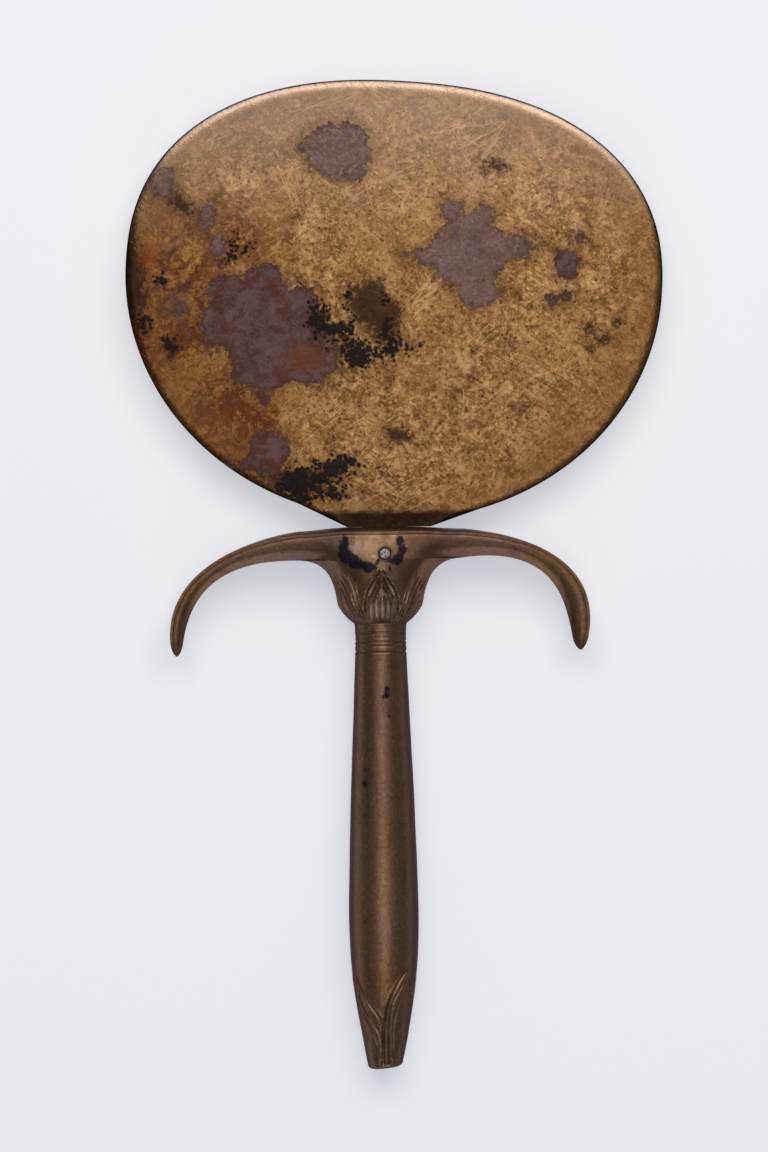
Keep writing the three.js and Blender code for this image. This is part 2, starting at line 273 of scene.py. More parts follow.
def combine(piece: Piece, other: Piece, operation: str = "DIFFERENCE") -> None:
    """Cut another solid away from a piece or join it, and remove the other.

    Args:
        piece: The solid that stays.
        other: The solid that is used up.
        operation: UNION or DIFFERENCE.
    """
    tool = piece.modifiers.new("combine", "BOOLEAN")
    tool.operation = operation
    tool.object = other
    tool.solver = "MANIFOLD"
    made = evaluated_mesh(piece)
    if not made.polygons:
        tool.solver = "EXACT"
        made = evaluated_mesh(piece)
    piece.modifiers.remove(tool)
    piece.data = made
    bpy.data.objects.remove(other)


def evaluated_mesh(piece: Piece) -> bpy.types.Mesh:
    """A plain mesh of the piece with its modifiers applied."""
    graph = bpy.context.evaluated_depsgraph_get()
    graph.update()
    return bpy.data.meshes.new_from_object(piece.evaluated_get(graph))


def prism(name: str, corners: Sequence[Sequence[float]], low: float, high: float) -> Piece:
    """A closed solid with one outline, from a lower to a higher level along Z."""
    return loops_mesh(name, np.array([[(x, y, z) for x, y in corners] for z in (low, high)], float))


def box_solid(low: Sequence[float], high: Sequence[float]) -> Piece:
    """A closed block between two corners."""
    corners = [(low[0], low[1]), (high[0], low[1]), (high[0], high[1]), (low[0], high[1])]
    return prism("block", corners, low[2], high[2])


def add_layer(mesh: bpy.types.Mesh, layer: "Layer", values: Array) -> None:
    """Store one number for each vertex under the name that a finish reads."""
    attribute = mesh.attributes.new(layer.value, "FLOAT", "POINT")
    attribute.data.foreach_set("value", np.asarray(values, np.float32))


def shade(mesh: bpy.types.Mesh, sharp_angle: float) -> None:
    """Shade a mesh smooth, but for edges that bend more than ``sharp_angle`` degrees."""
    mesh.polygons.foreach_set("use_smooth", np.ones(len(mesh.polygons), bool))
    mesh.set_sharp_from_angle(angle=math.radians(sharp_angle))


def settle(piece: Piece, name: str, lay: Lay, sharp_angle: float) -> None:
    """Name a finished piece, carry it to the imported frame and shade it.

    Args:
        piece: The piece, still in the handle's frame.
        name: Its final name.
        lay: How the mirror lies.
        sharp_angle: Edges that bend more than this, in degrees, stay sharp.
    """
    mesh = piece.data
    mesh.vertices.foreach_set("co", lay.apply(vertex_values(mesh)).ravel())
    shade(mesh, sharp_angle)
    mesh.update()
    piece.name = mesh.name = name


def hand_over(piece: Piece, material: bpy.types.Material, slot: str, node: str = "") -> None:
    """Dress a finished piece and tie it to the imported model.

    Args:
        piece: The piece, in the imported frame.
        material: Its finish.
        slot: The record's slot for that finish.
        node: The CAD node that it stands for, if any.
    """
    piece.data.materials.clear()
    piece.data.materials.append(material)
    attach(piece, "root")
    if node:
        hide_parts(node)
    piece.data.calc_loop_triangles()
    LOG.info("%s: %d triangles, slot %s", piece.name, len(piece.data.loop_triangles), slot)


@dataclass(frozen=True)
class RivetSeat:
    """Where the rivet goes through handle and tang, and the radii of its pin and holes."""

    x: float = 1.25
    y: float = -6.3
    pin_radius: float = 1.4
    hole_radius: float = 1.65
    hole_steps: int = 48

    def drill(self, piece: Piece, reach: float) -> None:
        """Drill the rivet's hole through a piece, ``reach`` millimetres either way."""
        turn = np.linspace(0, 2 * math.pi, self.hole_steps, endpoint=False)
        x = self.x + self.hole_radius * np.cos(turn)
        y = self.y + self.hole_radius * np.sin(turn)
        combine(piece, prism("pin", np.stack([x, y], axis=1), -reach, reach))

    def away(self, places: Array) -> Array:
        """Distance of each place from the rivet's axis."""
        return np.hypot(places[:, 0] - self.x, places[:, 1] - self.y)


# ---- Patina ----


class Layer(Enum):
    """Fields painted on the meshes for the finishes. Each value is an attribute's name."""

    TARNISH = "tarnish"
    CRUST = "crust"
    STAIN = "stain"
    OCHRE = "ochre"
    RUST = "rust"
    RIM = "rim"
    DEEP = "deep"
    # painted shade on the disk just above the tang
    FOOT_SHADE = "foot"
    # painted highlight on the disk's top rim, and painted sheen on its upper face
    TOP_HIGHLIGHT = "painted_highlight"
    WORN = "worn"
    BLUE = "blue"
    PINK = "pink"
    # painted shade in the handle's grooves and round the rivet hole
    RECESS_SHADE = "recess_shade"
    # worn groove lips, and painted highlights on the calyx's flutes
    RIDGE_WEAR_AND_GLINT = "ridge_wear_and_glint"
    # painted shade on the handle's flanks and on the umbel's front
    FLANK_SHADE = "flank_shade"


@dataclass(frozen=True)
class Spot:
    """One lobe of a patch: an ellipse on the mirror's face, turned by ``turn`` degrees."""

    x: float
    y: float
    rx: float
    ry: float
    turn: float = 0

    def inside(self, points: Array) -> Array:
        """How far points lie inside the lobe, in millimetres, negative outside.

        Args:
            points: Places whose first two columns are across and along.

        Returns:
            One distance for each point.
        """
        turn = math.radians(self.turn)
        dx, dy = points[:, 0] - self.x, points[:, 1] - self.y
        u = (dx * math.cos(turn) + dy * math.sin(turn)) / self.rx
        v = (dy * math.cos(turn) - dx * math.sin(turn)) / self.ry
        return (1 - np.hypot(u, v)) * min(self.rx, self.ry)


def patch_field(spots: Sequence[Spot], points: Array, blend: float = 1.2) -> Array:
    """Signed field of a patch made of lobes.

    Args:
        spots: The lobes.
        points: Where to read the field.
        blend: How far lobes run into each other.

    Returns:
        Millimetres inside the patch, negative outside.
    """
    total = np.full(len(points), -40.0)
    for spot in spots:
        total = soft_max(total, spot.inside(points), blend)
    return total


# ---- Finishes ----


def tone(red: int, green: int, blue: int) -> Color:
    """A colour given in ordinary 0 to 255 display values, as the linear values a shader takes."""
    parts = [c / 255 for c in (red, green, blue)]
    linear = [c / 12.92 if c <= 0.04045 else ((c + 0.055) / 1.055) ** 2.4 for c in parts]
    return (*linear, 1.0)


def add_node(
    tree: bpy.types.NodeTree, kind: str, inputs: "dict | None" = None, **settings: object
) -> bpy.types.Node:
    """Add a node to a tree.

    Args:
        tree: The tree.
        kind: The node's type.
        inputs: By name or number, what an input takes: a plain value or another node's output.
        **settings: The node's own settings.

    Returns:
        The node.
    """
    node = tree.nodes.new(kind)
    for name, value in settings.items():
        setattr(node, name, value)
    for key, value in (inputs or {}).items():
        feed(tree, node.inputs[key], value)
    return node


def feed(tree: bpy.types.NodeTree, target: Socket, value: Value) -> None:
    """Give an input a plain value or another node's output."""
    if isinstance(value, bpy.types.NodeSocket):
        tree.links.new(value, target)
    else:
        target.default_value = value


class Graph:
    """A material's nodes, and the colour painted so far, with methods that the finishes share.

    Patterns read Object coordinates in millimetres, so every scale is in turns per millimetre.
    """

    def __init__(self, name: str, color: Value) -> None:
        """Start a material with an empty tree, a surface shader and an output."""
        self.material = bpy.data.materials.new(name)
        self.material.use_nodes = True
        self.tree = self.material.node_tree
        self.tree.nodes.clear()
        self.color = color
        self.shader = add_node(self.tree, "ShaderNodeBsdfPrincipled")
        add_node(self.tree, "ShaderNodeOutputMaterial", {"Surface": self.shader.outputs["BSDF"]})
        places = add_node(self.tree, "ShaderNodeTexCoord").outputs["Object"]
        scaled = {0: places, "Scale": 1 / MM}
        self.mm = add_node(self.tree, "ShaderNodeVectorMath", scaled, operation="SCALE").outputs[0]

    def mapped(self, turn: float, stretch: tuple[float, float, float]) -> Socket:
        """Millimetre coordinates turned about Z by ``turn`` degrees and stretched."""
        rotation, scale = (0, 0, math.radians(turn)), tuple(1 / share for share in stretch)
        inputs = {"Vector": self.mm, "Rotation": rotation, "Scale": scale}
        return add_node(self.tree, "ShaderNodeMapping", inputs, vector_type="TEXTURE").outputs["Vector"]

    def cloud(
        self,
        scale: float,
        detail: float = 4,
        roughness: float = 0.55,
        distortion: float = 0,
        vector: "Socket | None" = None,
    ) -> Socket:
        """Cloudy noise.

        Args:
            scale: Turns per millimetre.
            detail: Octaves.
            roughness: Strength of the finer octaves.
            distortion: How far it is swirled.
            vector: Coordinates, plain millimetres if not given.

        Returns:
            Values round 0.5.
        """
        inputs = {"Vector": vector or self.mm, "Scale": scale, "Detail": detail}
        inputs |= {"Roughness": roughness, "Distortion": distortion}
        return add_node(self.tree, "ShaderNodeTexNoise", inputs).outputs["Fac"]

    def cells(self, scale: float) -> Socket:
        """Distance to the nearest of scattered points."""
        inputs = {"Vector": self.mm, "Scale": scale}
        return add_node(self.tree, "ShaderNodeTexVoronoi", inputs, feature="F1").outputs["Distance"]

    def layer(self, layer: Layer) -> Socket:
        """One of the mesh's own layers."""
        return add_node(self.tree, "ShaderNodeAttribute", attribute_name=layer.value).outputs["Fac"]

    def calculate(self, operation: str, *values: Value) -> Socket:
        """The Math node's operation on up to three values."""
        return add_node(self.tree, "ShaderNodeMath", dict(enumerate(values)), operation=operation).outputs[0]

    def sum(self, *values: Value) -> Socket:
        """Values added, from the first to the last."""
        total = values[0]
        for value in values[1:]:
            total = self.calculate("ADD", total, value)
        return total

    def times(self, a: Value, b: Value) -> Socket:
        """Two values multiplied."""
        return self.calculate("MULTIPLY", a, b)

    def swing(self, value: Socket, reach: float) -> Socket:
        """Noise round 0.5 turned into a shift of up to about half ``reach`` either way."""
        return self.calculate("MULTIPLY_ADD", value, reach, -reach / 2)

    def ragged(self, layer: Layer, pattern: Socket, reach: float) -> Socket:
        """One of the mesh's layers, its edges shifted by noise."""
        return self.sum(self.layer(layer), self.swing(pattern, reach))

    def ease(self, value: Socket, low: float, high: float, top: float = 1, bottom: float = 0) -> Socket:
        """Smoothly map ``low`` to ``bottom`` and ``high`` to ``top``, level beyond both."""
        inputs = {"Value": value, "From Min": low, "From Max": high, "To Min": bottom, "To Max": top}
        node = add_node(self.tree, "ShaderNodeMapRange", inputs, interpolation_type="SMOOTHSTEP")
        return node.outputs["Result"]

    def blend(self, share: Value, a: Value, b: Value) -> Socket:
        """Colour that goes from ``a`` to ``b`` with ``share``."""
        return add_node(self.tree, "ShaderNodeMix", {0: share, 6: a, 7: b}, data_type="RGBA").outputs[2]

    def between(self, share: Value, a: Value, b: Value) -> Socket:
        """Number that goes from ``a`` to ``b`` with ``share``."""
        return add_node(self.tree, "ShaderNodeMix", {0: share, 2: a, 3: b}, data_type="FLOAT").outputs[0]

    def coat(self, share: Value, color: Value) -> None:
        """Lay a colour over what is painted so far."""
        self.color = self.blend(share, self.color, color)

    def scratches(self, turn: float, scale: float, width: float, reach: float) -> Socket:
        """Fine hairlines that run along one direction and wander a little.

        Args:
            turn: Their direction, in degrees from X.
            scale: How close they are, in turns per millimetre across.
            width: Half-width of a line, as a share of the noise's range.
            reach: How much more slowly the pattern changes along the lines than across.

        Returns:
            1 on the lines, 0 between them.
        """
        pattern = self.cloud(scale, 2, 0.5, 0.4, self.mapped(turn, (reach, 1, 1)))
        return self.ease(self.calculate("ABSOLUTE", self.sum(pattern, -0.5)), width, 0)

    def relief(self, height: Socket, depth: float, strength: float) -> None:
        """Bump the surface by ``height`` times ``depth`` millimetres."""
        inputs = {"Height": height, "Distance": depth * MM, "Strength": strength}
        bump = add_node(self.tree, "ShaderNodeBump", inputs)
        feed(self.tree, self.shader.inputs["Normal"], bump.outputs["Normal"])

    def finish(self, metal: Value, roughness: Value, others: "dict | None" = None) -> bpy.types.Material:
        """Give the shader the painted colour and its other values.

        Args:
            metal: How metallic the surface is.
            roughness: How rough it is.
            others: More of the shader's inputs, by name.

        Returns:
            The material.
        """
        values = {"Base Color": self.color, "Metallic": metal, "Roughness": roughness}
        for name, value in (values | (others or {})).items():
            feed(self.tree, self.shader.inputs[name], value)
        return self.material


@dataclass(frozen=True)
class DiskBronze:
    """Golden bronze under purple-brown tarnish, black crust, ochre bloom and many hairlines."""

    gold: Color = tone(164, 120, 68)
    pale_gold: Color = tone(222, 178, 120)
    brown: Color = tone(124, 84, 46)
    dark_brown: Color = tone(72, 44, 28)
    ochre: Color = tone(146, 92, 28)
    red: Color = tone(96, 44, 22)
    plum: Color = tone(104, 74, 78)
    lilac: Color = tone(152, 120, 114)
    umber: Color = tone(78, 46, 34)
    black: Color = tone(24, 14, 13)
    orange: Color = tone(128, 68, 20)
    # pale colour of the painted highlight on the top of the rim
    rim_highlight: Color = tone(214, 192, 178)
    metal: float = 0.85
    covered_metal: float = 0.15
    roughness: float = 0.4
    edge_roughness: float = 0.24
    covered_roughness: float = 0.6
    specular: float = 0.3
    relief_depth: float = 0.11
    relief_strength: float = 0.8

    def make(self) -> bpy.types.Material:
        """Build the material.

        Returns:
            The disk's finish.
        """
        g = Graph("disk_bronze", self.gold)
        hairlines = self.worn_metal(g)
        self.bloom(g)
        self.edge(g)
        self.stains(g)
        tarnish = self.tarnish(g)
        rust = g.ragged(Layer.RUST, g.cloud(0.5, 8, 0.75), 8)
        g.coat(g.ease(rust, -0.2, 1.6, 0.55), self.orange)
        crust = self.crust(g)
        covered = g.calculate("MAXIMUM", g.times(tarnish, 0.55), crust)
        polished = g.ease(g.layer(Layer.RIM), 1.6, 3)
        bare = g.between(polished, self.edge_roughness, self.roughness)
        bare = g.sum(bare, g.swing(g.cloud(0.5, 6, 0.65), 0.22))
        skin = g.sum(g.times(g.cloud(1.6, 8, 0.7), 0.7), g.cloud(0.25, 4), g.times(hairlines, 0.2))
        skin = g.sum(skin, g.times(g.times(crust, g.cloud(1.4, 6, 0.7)), 2.5))
        g.relief(skin, self.relief_depth, self.relief_strength)
        metal = g.between(covered, self.metal, self.covered_metal)
        roughness = g.between(covered, bare, self.covered_roughness)
        return g.finish(metal, roughness, {"Specular IOR Level": self.specular})

    def worn_metal(self, g: Graph) -> Socket:
        """Paint mottled, crinkled metal with pits and scores; returns where the hairlines are."""
        g.coat(g.ease(g.cloud(0.024, 5, 0.62, 0.6), 0.38, 0.62, 0.36), self.brown)
        g.coat(g.ease(g.cloud(0.12, 10, 0.74, 0.6), 0.48, 0.58, 0.26), self.brown)
        streaked = g.cloud(0.22, 12, 0.78, 0.3, g.mapped(-38, (0.6, 1, 1)))
        g.coat(g.ease(streaked, 0.51, 0.57, 0.32), self.dark_brown)
        g.coat(g.ease(streaked, 0.47, 0.42, 0.26), self.pale_gold)
        crinkled = g.cloud(0.3, 10, 0.8, 0.5)
        patches = g.ease(g.cloud(0.04, 5, 0.6), 0.42, 0.6, 0.55, 0.1)
        g.coat(g.times(g.ease(crinkled, 0.53, 0.57), patches), self.dark_brown)
        g.coat(g.times(g.ease(crinkled, 0.48, 0.44), patches), self.pale_gold)
        grain = g.cloud(1.2, 4, 0.75, 0.5)
        g.coat(g.ease(grain, 0.53, 0.62, 0.7), self.dark_brown)
        g.coat(g.ease(grain, 0.45, 0.37, 0.55), self.pale_gold)
        crowd = g.ease(g.cloud(0.05, 4), 0.38, 0.5)
        g.coat(g.times(g.ease(g.cells(0.42), 0.22, 0.09, 0.85), crowd), self.red)
        scored = g.calculate("MAXIMUM", g.scratches(38, 0.26, 0.014, 0.1), g.scratches(-28, 0.2, 0.011, 0.1))
        g.coat(g.times(scored, g.ease(g.cloud(0.07, 5), 0.44, 0.58, 0.6)), self.dark_brown)
        lines = g.scratches(-34, 0.16, 0.008, 0.12)
        for turn, scale in ((24, 0.12), (-64, 0.14), (52, 0.1)):
            lines = g.calculate("MAXIMUM", lines, g.scratches(turn, scale, 0.007, 0.14))
        lines = g.times(lines, g.ease(g.cloud(0.07, 5), 0.42, 0.6))
        g.coat(g.times(lines, 0.45), self.pale_gold)
        return lines

    def bloom(self, g: Graph) -> None:
        """Paint the ochre and reddish bloom over the disk's left part."""
        reach = g.ragged(Layer.OCHRE, g.cloud(0.07, 7, 0.68), 26)
        g.coat(g.ease(reach, -9, 9, 0.6), self.ochre)
        mottle = g.ease(g.cloud(0.13, 10, 0.76, 1.2), 0.48, 0.54)
        g.coat(g.times(mottle, g.ease(reach, -6, 8, 0.9)), self.red)
        wisps = g.ease(g.cloud(0.09, 9, 0.72, 0.6), 0.53, 0.6)
        g.coat(g.times(wisps, g.ease(reach, 0, 8, 0.6)), self.plum)
        fine = g.ease(g.cloud(0.7, 5, 0.75, 1), 0.5, 0.57)
        g.coat(g.times(fine, g.ease(reach, -4, 8, 0.85)), self.dark_brown)

    def edge(self, g: Graph) -> None:
        """Paint painted shade as a browner band along the rim and above the tang, a painted highlight along
        the top with a fainter painted sheen over the upper face, and a dark painted line of shade at the
        edge.
        """
        # painted shade: the face turns browner towards the rim
        g.coat(g.ease(g.ragged(Layer.RIM, g.cloud(0.12, 6, 0.65), 8), 18, 1, 0.45), self.brown)
        # painted highlight: pale along the top of the rim, with a fainter painted sheen over the upper face
        painted_highlight = g.layer(Layer.TOP_HIGHLIGHT)
        g.coat(g.times(g.calculate("MINIMUM", painted_highlight, 0.34), 0.7), self.rim_highlight)
        bright = g.ease(g.ragged(Layer.TOP_HIGHLIGHT, g.cloud(0.6, 6, 0.7), 0.7), 0.3, 1, 0.45)
        g.coat(g.times(bright, g.ease(painted_highlight, 0, 0.3)), self.rim_highlight)
        # painted shade: a dark line along the very edge of the rim
        g.coat(g.ease(g.ragged(Layer.RIM, g.cloud(0.4, 5), 0.2), 0.5, 0.3, 0.9), self.black)
        # painted shade: near-black darkening of the face just above the tang, beside the umbel
        g.coat(g.ease(g.ragged(Layer.FOOT_SHADE, g.cloud(0.5, 7, 0.7), 2.4), 0.6, 2.2, 0.9), self.black)

    def stains(self, g: Graph) -> None:
        """Paint dull brown stains with cloudy, speckled edges."""
        g.coat(g.ease(g.ragged(Layer.STAIN, g.cloud(0.2, 9, 0.74), 9), -2, 3, 0.7), self.umber)
        g.coat(g.ease(g.ragged(Layer.STAIN, g.cloud(0.8, 5, 0.78), 11), 0, 1.5, 0.65), self.black)

    def tarnish(self, g: Graph) -> Socket:
        """Paint purple-brown patches with ragged, darker edges; returns their cover."""
        reach = g.swing(g.cloud(0.16, 9, 0.7), 8)
        reach = g.sum(g.layer(Layer.TARNISH), g.sum(reach, g.swing(g.cloud(0.8, 6, 0.7), 4.5)))
        deep = g.ease(g.layer(Layer.DEEP), 0, 1)
        shallow = g.calculate("SUBTRACT", 1, deep)
        flecks = g.times(shallow, g.ease(reach, 7, 1.5, 0.9))
        flecks = g.times(g.ease(g.cloud(0.9, 5, 0.7), 0.54, 0.59), flecks)
        cover = g.times(g.ease(reach, -0.1, 0.3), g.calculate("SUBTRACT", 1, flecks))
        grainy = g.ease(g.cloud(1.3, 5, 0.75), 0.42, 0.62)
        pale = g.blend(g.sum(g.times(grainy, 0.6), 0.4), self.plum, self.lilac)
        drift = g.ease(g.cloud(0.13, 8, 0.72, 0.5), 0.45, 0.56)
        pale = g.blend(g.times(drift, 0.35), pale, self.umber)
        dark = g.blend(grainy, g.blend(drift, self.plum, self.umber), self.plum)
        inner = g.blend(g.times(deep, 0.75), pale, dark)
        rusty = g.ease(g.cloud(0.2, 9, 0.76, 0.8), 0.47, 0.55, 0.7)
        inner = g.blend(g.times(rusty, deep), inner, self.red)
        specks = g.ease(g.cloud(1.2, 6, 0.75), 0.6, 0.64, 0.6)
        inner = g.blend(specks, inner, g.blend(deep, self.gold, self.orange))
        inner = g.blend(g.ease(reach, 1.3, 0.1, 0.65), inner, self.dark_brown)
        g.coat(g.ease(reach, -3.5, 0, 0.35), self.umber)
        g.coat(cover, inner)
        return cover

    def crust(self, g: Graph) -> Socket:
        """Paint black corrosion that breaks up into crumbs at its edges; returns its cover."""
        crumbs = g.calculate("MULTIPLY_ADD", g.cells(0.95), -4.6, 2)
        broken = g.sum(g.swing(g.cloud(0.32, 8, 0.72, 0.3), 13), crumbs)
        reach = g.sum(g.layer(Layer.CRUST), broken)
        cover = g.ease(reach, 0.1, 0.5)
        g.coat(g.ease(reach, -2.4, 0, 0.4), self.dark_brown)
        g.coat(g.times(cover, 0.94), self.black)
        return cover


@dataclass(frozen=True)
class HandleBronze:
    """Dark brown bronze, smooth from handling, golden where it is worn by the rivet, with painted shade on
    its flanks and in its grooves and painted highlights on its flutes.
    """

    brown: Color = tone(148, 114, 94)
    warm: Color = tone(154, 114, 80)
    dark: Color = tone(84, 58, 46)
    # colour of the painted shade on the flanks
    flank_shade: Color = tone(58, 46, 48)
    gold: Color = tone(210, 172, 132)
    # pale gold of the worn groove lips and of the painted highlights on the calyx's flutes
    painted_highlight: Color = tone(240, 208, 176)
    pink: Color = tone(205, 165, 155)
    blue: Color = tone(22, 22, 40)
    grazing: Color = (0.4, 0.4, 0.46, 1.0)
    metal: float = 0.85
    blue_metal: float = 0.3
    roughness: float = 0.4
    blue_roughness: float = 0.3
    specular: float = 0.2
    relief_depth: float = 0.1
    relief_strength: float = 0.8

    def make(self) -> bpy.types.Material:
        """Build the material.

        Returns:
            The handle's finish.
        """
        g = Graph("handle_bronze", self.brown)
        g.coat(g.ease(g.cloud(0.05, 4), 0.38, 0.62), self.warm)
        g.coat(g.ease(g.cloud(0.3, 7, 0.65), 0.52, 0.72, 0.4), self.dark)
        streaks = g.cloud(0.35, 5, 0.6, 0.2, g.mapped(0, (1, 0.16, 1)))
        g.coat(g.ease(streaks, 0.52, 0.7, 0.35), self.dark)
        grain = g.cloud(1.5, 3, 0.7)
        g.coat(g.ease(grain, 0.56, 0.66, 0.35), self.gold)
        g.coat(g.ease(grain, 0.44, 0.36, 0.3), self.dark)
        # painted shade on the flanks, the middle of the stem and the umbel's front
        g.coat(g.times(g.layer(Layer.FLANK_SHADE), 0.85), self.flank_shade)
        # worn, paler groove lips, with painted highlights on the flutes and a painted glint low on the
        # calyx's front
        g.coat(g.times(g.layer(Layer.RIDGE_WEAR_AND_GLINT), 0.92), self.painted_highlight)
        worn = g.ease(g.ragged(Layer.WORN, g.cloud(0.6, 8, 0.76), 8), -1.2, 2.2, 0.66)
        g.coat(worn, self.gold)
        g.coat(g.times(worn, g.ease(g.cloud(0.55, 8, 0.78), 0.48, 0.57, 0.7)), self.dark)
        g.coat(g.ease(g.ragged(Layer.PINK, g.cloud(0.9, 6, 0.65), 2), -0.3, 0.6, 0.6), self.pink)
        blue = g.ease(g.ragged(Layer.BLUE, g.cloud(0.7, 6, 0.7), 3), -0.35, 0.4)
        g.coat(g.times(blue, 0.93), self.blue)
        pits = g.times(g.ease(g.cells(0.5), 0.11, 0.05, 0.8), g.ease(g.cloud(0.08, 3), 0.5, 0.6))
        # pits, and painted shade in the grooves, the neck's rings and round the rivet hole
        g.coat(g.calculate("MAXIMUM", pits, g.times(g.layer(Layer.RECESS_SHADE), 0.5)), self.dark)
        skin = g.sum(g.times(g.cloud(1.2, 7, 0.65), 0.7), g.times(g.cloud(0.2, 3), 0.8))
        g.relief(g.sum(skin, g.times(pits, -1.4)), self.relief_depth, self.relief_strength)
        metal = g.between(blue, self.metal, self.blue_metal)
        roughness = g.between(blue, self.roughness, self.blue_roughness)
        roughness = g.sum(roughness, g.swing(g.cloud(0.6, 6, 0.65), 0.16))
        sheen = {"Specular IOR Level": self.specular, "Specular Tint": self.grazing}
        return g.finish(metal, roughness, sheen)


@dataclass(frozen=True)
class RivetMetal:
    """Dull pale grey, coarsely crystalline, with painted shade round its edge where it meets the hole."""

    pale: Color = tone(236, 226, 222)
    dark: Color = tone(112, 98, 94)
    metal: float = 0.35
    roughness: float = 0.55
    relief_depth: float = 0.2
    relief_strength: float = 0.7

    def make(self) -> bpy.types.Material:
        """Build the material.

        Returns:
            The rivet's finish.
        """
        g = Graph("rivet_metal", self.dark)
        crystals = g.cloud(2.4, 6, 0.7)
        g.coat(g.ease(crystals, 0.42, 0.6), self.pale)
        # painted shade: dark round the pin's edge, where it meets the hole
        g.coat(g.ease(g.layer(Layer.RIM), 0.45, 0.05), self.dark)
        g.relief(crystals, self.relief_depth, self.relief_strength)
        return g.finish(self.metal, self.roughness)


@dataclass(frozen=True)
class CrumbCrust:
    """Matt black grains of corrosion."""

    black: Color = tone(24, 15, 15)
    brown: Color = tone(50, 31, 26)
    metal: float = 0.1
    roughness: float = 0.7

    def make(self) -> bpy.types.Material:
        """Build the grains' finish."""
        g = Graph("crumb_crust", self.black)
        g.coat(g.ease(g.cloud(0.8, 4), 0.4, 0.65), self.brown)
        return g.finish(self.metal, self.roughness)


# ---- Mirror disk ----


